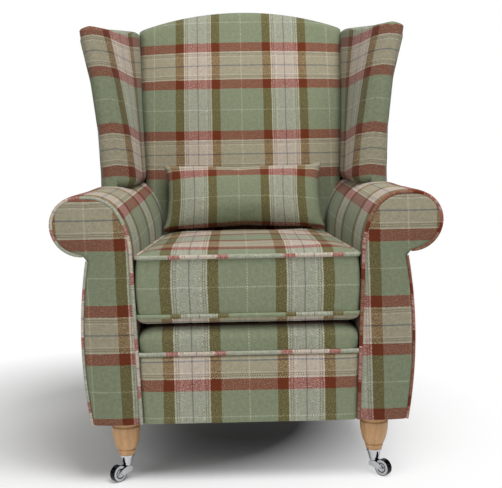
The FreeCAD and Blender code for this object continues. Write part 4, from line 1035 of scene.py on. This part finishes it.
@dataclass
class Wing(Sided):
    """One wing: padded front edge and inner face, outside panel, and edge piping."""

    sage_z: float = 881.7  # height at which the cloth's sage field has its middle
    flare: float = 0.0  # how much wider this wing's top stands out
    top_front: float = 1073.0  # height of the padded strip's top at its front
    top_rise: float = 16.0  # how much higher it is at the seam
    foot_z: float = 655.0  # where the padding rolls under, above the arm
    half_count: int = 34  # points in each half of the padding's plan

    def levels(self, z: np.ndarray | float) -> list[np.ndarray]:
        """Sizes of the wing's plan at heights, between its drawn levels and in their order."""
        sizes = [np.interp(z, WING_LEVELS[:, 0], WING_LEVELS[:, k]) for k in range(1, 6)]
        sizes[0] = sizes[0] + self.flare * smooth((z - 930) / 130)
        return sizes

    def plan(self, z: float) -> np.ndarray:
        """The padding's plan at one height: outside, front edge, inner face and seam.

        Its outer half runs forward from the back post and its inner half runs back again,
        with as many points each, and the foremost point between them.
        """
        out_x, peak_x, front_y, seam_y, rear_x = self.levels(z)
        seam_x = welt_x(z)
        rear_y = raked(646.0, z)
        middle = ((out_x + peak_x) / 2 + 4, front_y - 3)
        outer = [(rear_x - 2, rear_y), (out_x - 0.5, front_y + 24), (out_x, front_y + 15)]
        outer += [(out_x - 9, front_y + 1, "via"), middle]
        inner = [middle, (peak_x + 16, front_y + 6, "via"), (peak_x, front_y + 26)]
        inner += [(peak_x * 0.62 + seam_x * 0.38 - 3, front_y * 0.62 + seam_y * 0.38, "via")]
        inner += [(seam_x - 2, seam_y + 8), (seam_x, rear_y)]
        forward = self.spread(trace(outer, 2.0), toward_end=True)
        return np.concatenate([forward, self.spread(trace(inner, 2.0), toward_end=False)[1:]])

    def spread(self, line: np.ndarray, toward_end: bool) -> np.ndarray:
        """Points along a half of the plan, closer together at its front."""
        run = run_along(line)
        crowding = 1.6
        share = np.linspace(0, 1, self.half_count) ** crowding
        goal = run[-1] * (1 - share[::-1] if toward_end else share)
        return laid(*(np.interp(goal, run, line[:, k]) for k in range(2)))

    def inward(self, plan: np.ndarray) -> np.ndarray:
        """Directions square to the padding's plan, into the wing."""
        ahead = np.gradient(plan, axis=0)
        square = laid(ahead[:, 1], -ahead[:, 0])
        return square / np.linalg.norm(square, axis=1)[:, None]

    def cloth_at(self, plan: np.ndarray, z: float) -> np.ndarray:
        """Cloth places of the padding at one height.

        The cloth is cut square to the leaning front edge, so its lines fall away from
        the peak both ways, and it is eased in towards the seam.

        Args:
            plan: The padding's plan.
            z: Its height.

        Returns:
            Places across and along the cloth.
        """
        lead, start, front, fold, ease = 9.0, 28.0, 0.81, 74.0, 0.67
        run = run_along(plan)
        run = run - run[self.half_count - 1] + lead
        across = np.where(run < fold, start + front * run, start + front * fold + ease * (run - fold))
        peak, lean, furthest = 12, 0.13, 180
        along = z - self.sage_z + lean * np.clip(np.abs(run - peak), 0, furthest)
        return laid(across, along)

    def pad(self) -> None:
        """The padding with its rolled front edge, rounded over the top."""
        rows, count = 56, self.half_count
        grid = np.zeros((rows, 2 * count - 1, 3))
        weave = np.zeros((rows, 2 * count - 1, 2))
        crown, roll_under = 11.0, 24.0
        for index, t in enumerate(eased(rows) ** 0.8):
            z = self.foot_z + (self.top_front - crown - self.foot_z) * t
            plan = self.plan(z)
            weave[index] = self.cloth_at(plan, z)
            tuck = edge_round(z - self.foot_z, roll_under)
            shift = tuck * smooth((plan[0, 0] + 30 - plan[:, 0]) / 30)
            shift[:count] = 0
            plan += self.inward(plan) * shift[:, None]
            rise = smooth((z - 820) / 240) * self.top_rise * np.clip((plan[:, 1] - 520) / 190, 0, 1)
            grid[index] = laid(plan[:, 0], plan[:, 1], z + rise)
        outer, inner = grid[-1, count - 1 :: -1, None], grid[-1, count - 1 :, None]
        arch, share = np.sin(np.linspace(0, math.pi, 9)), eased(9)[:, None]
        lid = outer + (inner - outer) * share
        lid[..., 2] += np.minimum(crown, np.linalg.norm(outer - inner, axis=-1) / 2) * arch
        outer, inner = weave[-1, count - 1 :: -1, None], weave[-1, count - 1 :, None]
        lid_weave = outer + (inner - outer) * share
        lid_weave[..., 1] += crown * arch
        fold = count + 9
        # painted shade: the outer side and rolled front edge, up to the fold, take the darker copy of
        # the cloth; the inner face and the top take the plain one.
        patches = [
            Patch(grid[:, : fold + 1], weave[:, : fold + 1]),
            Patch(grid[:, fold:], weave[:, fold:], 1),
            Patch(lid, lid_weave, 1),
        ]
        self.cover("wing_face", patches, [self.looks.shaded, self.looks.tartan], "wing_pad", 0.7)

    def rim(self, count: int) -> np.ndarray:
        """The top edge of the outside panel, from its front corner back to the post."""
        share = np.linspace(0, 1, count)
        z = self.top_front - 28 + 30 * np.sqrt(share)
        out_x, _, front_y, _, rear_x = self.levels(z)
        x = out_x + (rear_x - out_x) * share + 0.6
        y = front_y + 22 + (raked(641.0, z) - front_y - 22) * share
        return laid(x, y, z)

    def outside(self) -> None:
        """The outside wing panel back to the outside back."""
        top = self.rim(30)
        share = np.linspace(0, 1, len(top))
        z = 640 + (top[:, 2] - 640) * np.linspace(0, 1, 40)[:, None]
        out_x, _, front_y, _, rear_x = self.levels(z)
        x = out_x + (rear_x - out_x) * share + 0.8 + 1.5 * np.sin(math.pi * share)
        y = front_y + 20 + (raked(645.0, z) - front_y - 20) * share
        # painted shade: the outside panel takes the darker copy of the cloth.
        patches = [Patch(laid(x, y, z), laid(y, z - self.sage_z))]
        self.cover("wing_outside", patches, [self.looks.shaded], "outside_wing", 0.3)

    def piping(self) -> None:
        """The cord up the outer front edge and back over the top of the outside panel."""
        top = self.rim(24)
        z = np.linspace(650, top[0, 2] - 8, 40)
        out_x, _, front_y, _, _ = self.levels(z)
        line = np.concatenate([laid(out_x - 0.5, front_y + 18, z), top[1:]])
        # painted shade: the cord takes the darker copy of the cloth.
        self.cord("wing_cord", line, 3.0, self.looks.shaded, Strip.SAGE, "wing_piping")

    def build(self) -> None:
        """Make every piece of the wing."""
        self.pad()
        self.outside()
        self.piping()


@dataclass
class Back:
    """The padded inside back with its arched crest, and the outside back."""

    looks: Finishes
    crest_top: float = 1143.0
    crest_radius: float = 894.0
    sage_run: float = 494.7  # from the lower edge up to the middle of a sage field
    sage_z: float = 861.0  # height of such a middle on the outside back
    ease_across: float = 1.03  # how full the cloth is laid across the padding
    ease_along: tuple[float, float] = (0.955, 0.989)  # and along it, above and below that middle

    def crest(self, x: np.ndarray | float) -> np.ndarray | float:
        """Height of the arch at x."""
        return self.crest_top - self.crest_radius + np.sqrt(self.crest_radius**2 - x**2)

    def column(self, s: float) -> np.ndarray:
        """One upright line over the padding, up its face, over the crest and down behind.

        Args:
            s: Its place across, from -1 to 1.

        Returns:
            Points of (depth, z).
        """
        top = self.crest(294.0 * s)
        low = trace([(556.0, 372.0), (560.0, 480.0), (620.5, 780.0, "via"), (718.0, 1080.0)], 12.0)
        low[:, 1] += smooth((low[:, 1] - 800) / 280) * (top - self.crest_top)
        front_r, rear_r, lean = 34.0, 10.0, 0.3
        turns = np.linspace(0, math.pi / 2, 8)[1:]
        knee = low[-1] + np.array([lean, 1.0]) * max(top - low[-1, 1] - front_r, 0)
        corner = laid(knee[0] + front_r * (1 - np.cos(turns)), knee[1] + (top - knee[1]) * np.sin(turns))
        rear = raked(643.0, top) - rear_r
        flat = laid(corner[-1, 0] + (rear - corner[-1, 0]) * np.array([0.33, 0.66, 1.0]), top)
        fall = laid(rear + rear_r * np.sin(turns), top - rear_r * (1 - np.cos(turns)))
        down = laid(raked(643.0, top - 60), top - 60)
        return np.concatenate([low, corner, flat, fall, down[None]])

    def inside(self) -> None:
        """The inside back, over the crest and down to the outside back."""
        s = np.linspace(-1, 1, 57)
        columns = [self.column(share) for share in s]
        depth, z = np.array(columns).T
        above = np.array([run_along(column) for column in columns]).T - self.sage_run
        half = welt_x(z) - 1
        gap = half * (1 - abs(s))
        plump = 4.0 * (1 - s * s) + 1.5 * ripple(half * s, z, 5.0) * smooth(gap / 60)
        y = depth + edge_round(gap, 20.0) - plump * smooth((1130 - z) / 60)
        weave = laid(half * s * self.ease_across, above * np.where(above > 0, *self.ease_along))
        patches = [Patch(laid(half * s, y, z), weave)]
        covered("back_face", patches, [self.looks.tartan], ("inside_back",))

    def outside(self) -> None:
        """The outside back, drawn flat over the posts."""
        t, s = grid_shares(np.linspace(0, 1, 50), np.linspace(-1, 1, 41))
        half = np.interp(t, [0, 0.5, 1], [321.0, 315.0, 319.0])
        x = half * s
        z = BASE_Z + (self.crest(x) - 4 - BASE_Z) * t
        gap = np.minimum(half * (1 - abs(s)), np.minimum(t, 1 - t) * 1000)
        y = raked(649.0, z) - edge_round(gap, 6.0) + 1.2 * np.sin(math.pi * t) * (1 - s * s)
        patches = [Patch(laid(x, y, z), laid(x, z - self.sage_z))]
        covered("outside_back_cloth", patches, [self.looks.tartan], ("outside_back",))

    def build(self) -> None:
        """Make both faces."""
        self.inside()
        self.outside()


@dataclass
class SeatFront:
    """Front border, the piping above it, the padded lip and the platform under the cushion."""

    looks: Finishes
    sage_z: float = 151.5  # height at which the border's sage field has its middle
    cord_z: float = 295.5
    lip_start: float = 4.0  # cloth place of the lip's lower edge
    lip_ease: float = 0.8  # how tightly its cloth is drawn back
    sag: float = 6.0

    def border(self) -> None:
        """The padded front border."""
        t, s = grid_shares(np.linspace(0, 1, 22), np.linspace(-1, 1, 61))
        height, half = 153, 240 + 5 * t
        x, z = half * s, BASE_Z + 0.5 + height * t
        gap = np.minimum(half - abs(x), (1 - t) * height)
        plump = 2.5 * smooth(gap / 40) - 0.7 * ripple(x, z, 2.0)
        patches = [Patch(laid(x, 5 + edge_round(gap, 7.0) - plump, z), laid(x, z - self.sage_z))]
        covered("front_border_cloth", patches, [self.looks.tartan], ("front_border",))

    def band(self) -> None:
        """The piping between border and lip."""
        line = laid(np.linspace(-246, 246, 60), 8.5, self.cord_z)
        cord = swept_cord("front_band_piping", line, 5.0, self.looks.welt, Strip.PALE)
        finish_piece(cord, "chair_frame", ("front_border_piping",))

    def lip(self) -> None:
        """The padded front edge, rolled back under the cushion, with rounded corners."""
        line = trace([(8, 301), (6.5, 330), (15, 346, "via"), (36, 353), (61, 354)], 5.0)
        s = np.linspace(-1, 1, 61)
        x = 244.0 * np.copysign(1 - (1 - abs(s)) ** 1.2, s)
        drop = edge_round(246 - abs(x), 40.0)
        depth, height, run = line[:, :1], line[:, 1:], run_along(line)[:, None]
        share = (height - 300) / 64
        y = depth + 0.35 * drop * (1 - share) + ripple(x, run, 7.0)
        points = laid(x, y, height - 0.55 * drop * share)
        patches = [Patch(points, laid(x, self.lip_ease * run + self.lip_start))]
        covered("front_lip_cloth", patches, [self.looks.tartan], ("front_lip",))

    def platform(self) -> None:
        """The platform cloth under the cushion, sagging a little between the rails."""
        low, high = (np.array(corner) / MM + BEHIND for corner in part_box("seat_deck"))
        y, x = grid_shares(np.linspace(low[1], high[1], 30), np.linspace(low[0], high[0], 30))
        deep, wide = high[1] - low[1], high[0] - low[0]
        sag = self.sag * np.sin(math.pi * (y - low[1]) / deep) * np.cos(math.pi * x / wide)
        patches = [flat_patch(laid(x, y, high[2] - sag.clip(0)), 0, 1)]
        piece = build_piece("platform_cloth", patches, [self.looks.lining])
        finish_piece(piece, "chair_frame", ("seat_deck",))

    def build(self) -> None:
        """Make the seat's front."""
        self.platform()
        self.border()
        self.band()
        self.lip()


@dataclass
class SeatCushion:
    """The loose boxed seat cushion with its two rows of piping."""

    looks: Finishes
    front_y: float = 8.0
    rear_y: float = 549.0
    low_z: float = 381.0
    high_z: float = 513.0
    front_half: float = 248.0
    rear_half: float = 217.0
    sage_z: float = 445.0  # height of the sage field's middle on the boxing
    wall_ease: float = 0.88  # how tightly the boxing's cloth is drawn
    wall_start: float = -235.0  # cloth place where the boxing begins
    face_starts: tuple[float, float] = (17.5, 112.0)  # and of the top's and bottom's front edge

    def rim(self, z: float, grow: float = 0.0) -> np.ndarray:
        """The seam line round the cushion at one height, closed."""
        w, n, r = self.front_half + grow, self.rear_half + grow, 12.0
        f, b = self.front_y - grow, self.rear_y + grow
        mid = 0.29 * r  # about the middle of the corner's arc
        route = [
            (-w + r, f),
            (w - r, f),
            (w - mid, f + mid, "via"),
            (w, f + r),
            (n, b - r),
            (n - mid, b - mid, "via"),
            (n - r, b),
            (-n + r, b),
            (-n + mid, b - mid, "via"),
            (-n, b - r),
            (-w, f + r),
            (-w + mid, f + mid, "via"),
            (-w + r, f),
        ]
        plan = trace(route, 6.0)
        return np.concatenate([plan, np.full((len(plan), 1), z)], axis=1)

    def face(self, z: float, crown: float, seed: float) -> Patch:
        """Top or bottom face, crowned between its seams."""
        t, s = grid_shares(eased(44), -np.cos(np.linspace(0, math.pi, 44)))
        deep = self.rear_y - self.front_y
        half = self.front_half + (self.rear_half - self.front_half) * t
        x, y = half * s, self.front_y + deep * t
        edge = np.minimum(half * (1 - abs(s)), deep * np.minimum(t, 1 - t))
        lip = np.sqrt(1 - (1 - np.minimum(edge / 24, 1)) ** 2)
        inner = np.minimum(edge / 190, 1)
        upper, lower = 0.3 * lip + 0.7 * (1 - (1 - inner) ** 3), 0.85 * lip + 0.15 * inner
        wave = math.copysign(1.5, crown) * ripple(x, y, seed) * smooth(edge / 50)
        rise = crown * (upper if crown > 0 else lower)
        start = self.face_starts[0 if crown > 0 else 1]
        return Patch(laid(x, y, z + rise + wave), laid(x + 1, y + start))

    def wall(self) -> Patch:
        """The boxing round the cushion."""
        run = run_along(self.rim(0))
        rings, weave = [], []
        for t in np.linspace(0, 1, 16):
            z = self.low_z + (self.high_z - self.low_z) * t
            bulge = 4.0 * math.sin(math.pi * t) - 1.0
            rings.append(resample(self.rim(z, grow=bulge), len(run)))
            weave.append(laid(run + self.wall_start, (z - self.sage_z) * self.wall_ease))
        return Patch(np.array(rings), np.array(weave))

    def build(self) -> None:
        """Make the cushion and its piping."""
        patches = [self.face(self.high_z, 20.0, 1.3), self.face(self.low_z, -22.0, 2.1), self.wall()]
        nodes = ("seat_cushion_cover", "seat_cushion_core")
        covered("seat_cushion", patches, [self.looks.tartan], nodes, "seat_cushion")
        nodes = ("seat_cushion_piping",)
        for name, z, strip in (("upper", self.high_z, Strip.PALE), ("lower", self.low_z, Strip.SAGE)):
            cord = swept_cord(f"seat_piping_{name}", self.rim(z, 1.0), 4.8, self.looks.welt, strip, True)
            finish_piece(cord, "seat_cushion", nodes)


@dataclass
class LumbarCushion:
    """The small loose pillow with pointed corners, cut flat and stuffed."""

    looks: Finishes
    half_x: float = 219.0
    half_z: float = 97.0
    thick: float = 50.0
    lean: float = math.radians(27)
    middle: tuple[float, float, float] = (-1.0, 524.0, 618.0)
    count: int = 45
    crease: float = 0.22  # how much of the stuffed cloth's own creasing is kept
    cloth_middle: tuple[float, float] = (14.0, 17.0)  # cloth place of its middle
    ease: tuple[float, float, float] = (1.03, 1.0, 0.86)  # of the cloth across, upwards, downwards

    def cut(self) -> list[Patch]:
        """Its two flat faces, a little apart, with their cloth places."""
        faces = []
        span = np.linspace(-1, 1, self.count)
        t, s = grid_shares(span, span)
        for way in (-1, 1):
            x, z = self.half_x * s, self.half_z * t
            puff = 12.0 * ((1 - s * s) * (1 - t * t)) ** 0.5 * (1 + 0.2 * ripple(x, z, 4.0))
            points = laid(x, way * puff, z)
            along = np.where(t > 0, *self.ease[1:]) * z
            weave = laid(x * self.ease[0], along) + self.cloth_middle
            faces.append(Patch(points, weave) if way < 0 else Patch(points[:, ::-1], weave[:, ::-1]))
        return faces

    def plumped(self, points: np.ndarray) -> np.ndarray:
        s, t = points[:, 0] / self.half_x, points[:, 2] / self.half_z
        full = np.clip((1 - s * s), 0, 1) ** 0.42 * np.clip((1 - t * t), 0, 1) ** 0.5
        points[:, 1] = np.sign(points[:, 1]) * full * self.thick
        points[:, 0] *= 1 - 0.06 * (1 - t * t)
        points[:, 2] *= 1 - np.where(t > 0, 0.0, 0.01) * (1 - s * s)
        ear = smooth((np.abs(s) - 0.8) / 0.2) * smooth((np.abs(t) - 0.7) / 0.3)
        points[:, 0] += 6 * ear * np.sign(s)
        points[:, 2] += np.where((t > 0) & (s > 0), 9, 1) * ear * np.sign(t)
        return points

    def build(self) -> None:
        """Make the pillow, leaning on the back."""
        piece = build_piece("lumbar_cushion", self.cut(), [self.looks.tartan])
        drawn = self.plumped(np.array([v.co for v in piece.data.vertices]) / MM + BEHIND)
        mesh = stuffed(piece)
        points = np.array([v.co for v in mesh.vertices]) / MM + BEHIND
        points -= (points.max(axis=0) + points.min(axis=0)) / 2
        points *= np.array([self.half_x, self.thick, self.half_z]) / points.max(axis=0)
        points = self.crease * points + (1 - self.crease) * drawn
        turn = np.array(Matrix.Rotation(-self.lean, 3, "X"))
        points = points @ turn.T + np.array(self.middle) - BEHIND
        mesh.vertices.foreach_set("co", (points * MM).ravel())
        mesh.update()
        nodes = ("lumbar_cushion_cover", "lumbar_cushion_fill")
        finish_piece(soften(piece), "lumbar_cushion", nodes)


# radius and height of the turned leg, from its foot in the castor's cup to its top
LEG_PROFILE = [
    (0.5, 58.0), (16.8, 58.0), (17.6, 59.0), (20.8, 69.2), (19.4, 70.2, "via"), (18.2, 71.4),
    (20.0, 72.6, "via"), (22.0, 73.4), (26.4, 84.0, "via"), (29.6, 98.0), (31.9, 112.0, "via"),
    (32.0, 124.6), (30.2, 126.2, "via"), (28.6, 127.8), (30.8, 129.2, "via"), (32.5, 130.2),
    (32.5, 138.5), (0.5, 138.5),
]


@dataclass
class Feet:
    """The turned front legs; castors and rear legs stay as they are in the frame."""

    looks: Finishes
    leg_x: float = 284.0
    leg_y: float = 44.0

    def build(self) -> None:
        """Make the two turned legs; the right one stands for the node of both."""
        for side in Side:
            centre = (self.leg_x * side.value, self.leg_y)
            leg = lathed(f"turned_leg_{side.word}", LEG_PROFILE, centre, self.looks.beech)
            nodes = ("front_legs",) if side is Side.RIGHT else ()
            finish_piece(leg, "chair_frame", nodes)


@dataclass
class Studio:
    """Pale floor, white backdrop, soft lights and the camera."""

    camera_x: float = -26.0
    camera_back: float = 2073.6
    camera_z: float = 757.6
    yaw: float = math.radians(0.947)
    pitch: float = math.radians(5.971)
    roll: float = math.radians(-1.014)
    focal_px: float = 947.8
    image_width: float = 502.0
    sensor: float = 36.0
    ambient: float = 0.36
    floor_reach: float = 14.0

    def camera(self) -> None:
        """The camera at the photograph's viewing angle."""
        data = bpy.data.cameras.new("studio_camera")
        data.sensor_width = self.sensor
        data.lens = self.focal_px / self.image_width * data.sensor_width
        camera = bpy.data.objects.new("studio_camera", data)
        bpy.context.scene.collection.objects.link(camera)
        turns = ((-self.yaw, "Z"), (math.pi / 2 - self.pitch, "X"), (self.roll, "Z"))
        heading, tilt, roll = (Matrix.Rotation(angle, 4, axis) for angle, axis in turns)
        place = Vector((self.camera_x, -self.camera_back - HALF_DEPTH, self.camera_z)) * MM
        camera.matrix_world = Matrix.Translation(place) @ heading @ tilt @ roll
        bpy.context.scene.camera = camera

    def softbox(self, name: str, place: tuple, aim: tuple, size: float, watts: float) -> None:
        """One square soft light."""
        data = bpy.data.lights.new(name, "AREA")
        data.energy, data.size = watts, size
        light = bpy.data.objects.new(name, data)
        bpy.context.scene.collection.objects.link(light)
        light.location = place
        light.rotation_mode = "QUATERNION"
        light.rotation_quaternion = (Vector(aim) - Vector(place)).to_track_quat("-Z", "Y")

    def world(self) -> None:
        """A white surround that also lights softly; metal sees it as pale panels in a dark room."""
        world = bpy.data.worlds.new("studio_world")
        bpy.context.scene.world = world
        world.use_nodes = True
        tree = world.node_tree
        tree.nodes.clear()
        path = add_node(tree, "LightPath")
        way = add_node(tree, "SeparateXYZ", (add_node(tree, "TexCoord"),))
        tall, slanted, dark = 13.0, 4.0, 0.05
        bands = add_node(tree, "Math.MULTIPLY", (way.outputs[0], slanted))
        bands = add_node(tree, "Math.MULTIPLY_ADD", (way.outputs[2], tall, bands))
        bands = add_node(tree, "Math.SINE", (bands,))
        bands = add_node(tree, "Math.GREATER_THAN", (bands, 0.1))
        panels = add_node(tree, "Math.MULTIPLY_ADD", (bands, 1 - dark, dark))
        seen = path.outputs["Is Camera Ray"]
        level = add_node(tree, "Math.MULTIPLY_ADD", (seen, 1 - self.ambient, self.ambient))
        darker = add_node(tree, "Math.SUBTRACT", (panels, level))
        mirrored = path.outputs["Is Glossy Ray"]
        level = add_node(tree, "Math.MULTIPLY_ADD", (darker, mirrored, level))
        white = add_node(tree, "Background", {"Color": (1, 1, 1, 1), "Strength": level})
        add_node(tree, "OutputWorld", {"Surface": white})

    def floor(self) -> None:
        """A wide pale floor, darkened under the chair by a painted shadow, that fades to white away from
        the chair under a painted white glow seen only by the camera.
        """
        size = self.floor_reach
        y, x = grid_shares(np.array([-size, size]), np.array([-size, size]))
        piece = build_piece("studio_floor", [flat_patch(laid(x, y, 0.0) / MM, 0, 1)], [])
        material, tree, shader = new_material("studio_floor")
        spot = add_node(tree, "TexCoord").outputs["Object"]

        def away(centre: tuple, low: float, high: float) -> Node:
            """0 within a distance of a place on the floor, 1 beyond another."""
            gap = add_node(tree, "VectorMath.SUBTRACT", (spot, centre))
            reach = add_node(tree, "VectorMath.LENGTH", (gap,)).outputs["Value"]
            return add_node(tree, "MapRange", {"Value": reach, "From Min": low, "From Max": high})

        under, around = 0.35, 0.9  # painted shadow: floor colour darkened below the chair, and the floor's colour round it
        near = away((0.0, 0.06, 0), 0.16, 0.4)
        painted_shadow_grey = add_node(tree, "Math.MULTIPLY_ADD", (near, around - under, under))
        tone = add_node(tree, "CombineColor", (painted_shadow_grey, painted_shadow_grey, painted_shadow_grey))
        feed(tree, shader, {"Base Color": tone, "Roughness": 0.9})
        # painted light: the camera sees the floor covered by a white glow that fades in away from a
        # place left of the chair.
        painted_white_glow = add_node(tree, "Emission", {"Color": (1, 1, 1, 1), "Strength": 1.0})
        seen = add_node(tree, "LightPath").outputs["Is Camera Ray"]
        share = add_node(tree, "Math.MULTIPLY", (away((-0.28, 0.1, 0), 0.42, 0.98), seen))
        mix = add_node(tree, "MixShader", (share, shader, painted_white_glow))
        output = next(n for n in tree.nodes if n.type == "OUTPUT_MATERIAL")
        feed(tree, output, {"Surface": mix})
        piece.data.materials.append(material)

    def build(self) -> None:
        """Set the studio up."""
        self.camera()
        self.world()
        self.floor()
        self.softbox("key_light", (0.8, -1.45, 3.6), (0, 0, 0.4), 2.0, 112)
        self.softbox("fill_light", (-2.2, -2.4, 1.6), (0, 0, 0.6), 1.8, 20)
        bpy.context.scene.view_settings.view_transform = "Standard"


SLOT_LOOKS = {
    "frame_timber": "timber",
    "leg_beech": "beech",
    "tartan_cloth": "tartan",
    "piping_cloth": "welt",
    "elastic_webbing": "lining",
    "platform_cloth": "lining",
    "dust_cloth": "lining",
    "foam": "lining",
    "zip_tape": "lining",
    "clip_steel": "steel",
    "castor_chrome": "chrome",
    "glide_nylon": "nylon",
}


def wheel_look(frame: dict, side: Side) -> Material:
    """The ringed finish of one castor wheel, centred on its box."""
    low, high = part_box(f"castor_wheel_{side.word}")
    centre = (Vector(low) + Vector(high)) / 2
    points = np.array([v.co for v in frame["nodes"][f"castor_wheel_{side.word}"].data.vertices])
    axis = np.linalg.svd(points - np.array(centre))[2][2]
    return RingedWheel().build(f"ringed_wheel_{side.word}", centre, Vector(axis))


def dress_nodes(frame: dict, looks: Finishes) -> None:
    """Give every CAD node that stays the finish of its slot.

    Args:
        frame: The loaded frame.
        looks: The finishes.
    """
    for row in frame["record"]["subparts"]:
        node = frame["nodes"][row["node"]]
        material = getattr(looks, SLOT_LOOKS[row["material_slot"]])
        node.data.materials.clear()
        node.data.materials.append(material)
    for side in Side:
        wheel = frame["nodes"][f"castor_wheel_{side.word}"]
        wheel.data.materials.clear()
        wheel.data.materials.append(wheel_look(frame, side))


def main() -> None:
    """Build the chair in order."""
    logging.basicConfig(level=logging.INFO, format="%(message)s")
    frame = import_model()
    looks = Finishes.make()
    dress_nodes(frame, looks)
    Arm(Side.LEFT, looks).build()
    Arm(Side.RIGHT, looks, sage_z=481.0, sage_x=355.0, cut_slope=-0.02).build()
    Wing(Side.LEFT, looks).build()
    Wing(Side.RIGHT, looks, sage_z=873.5, flare=4.0).build()
    Back(looks).build()
    SeatFront(looks).build()
    SeatCushion(looks).build()
    LumbarCushion(looks).build()
    Feet(looks).build()
    Studio().build()


if __name__ == "__main__":
    main()
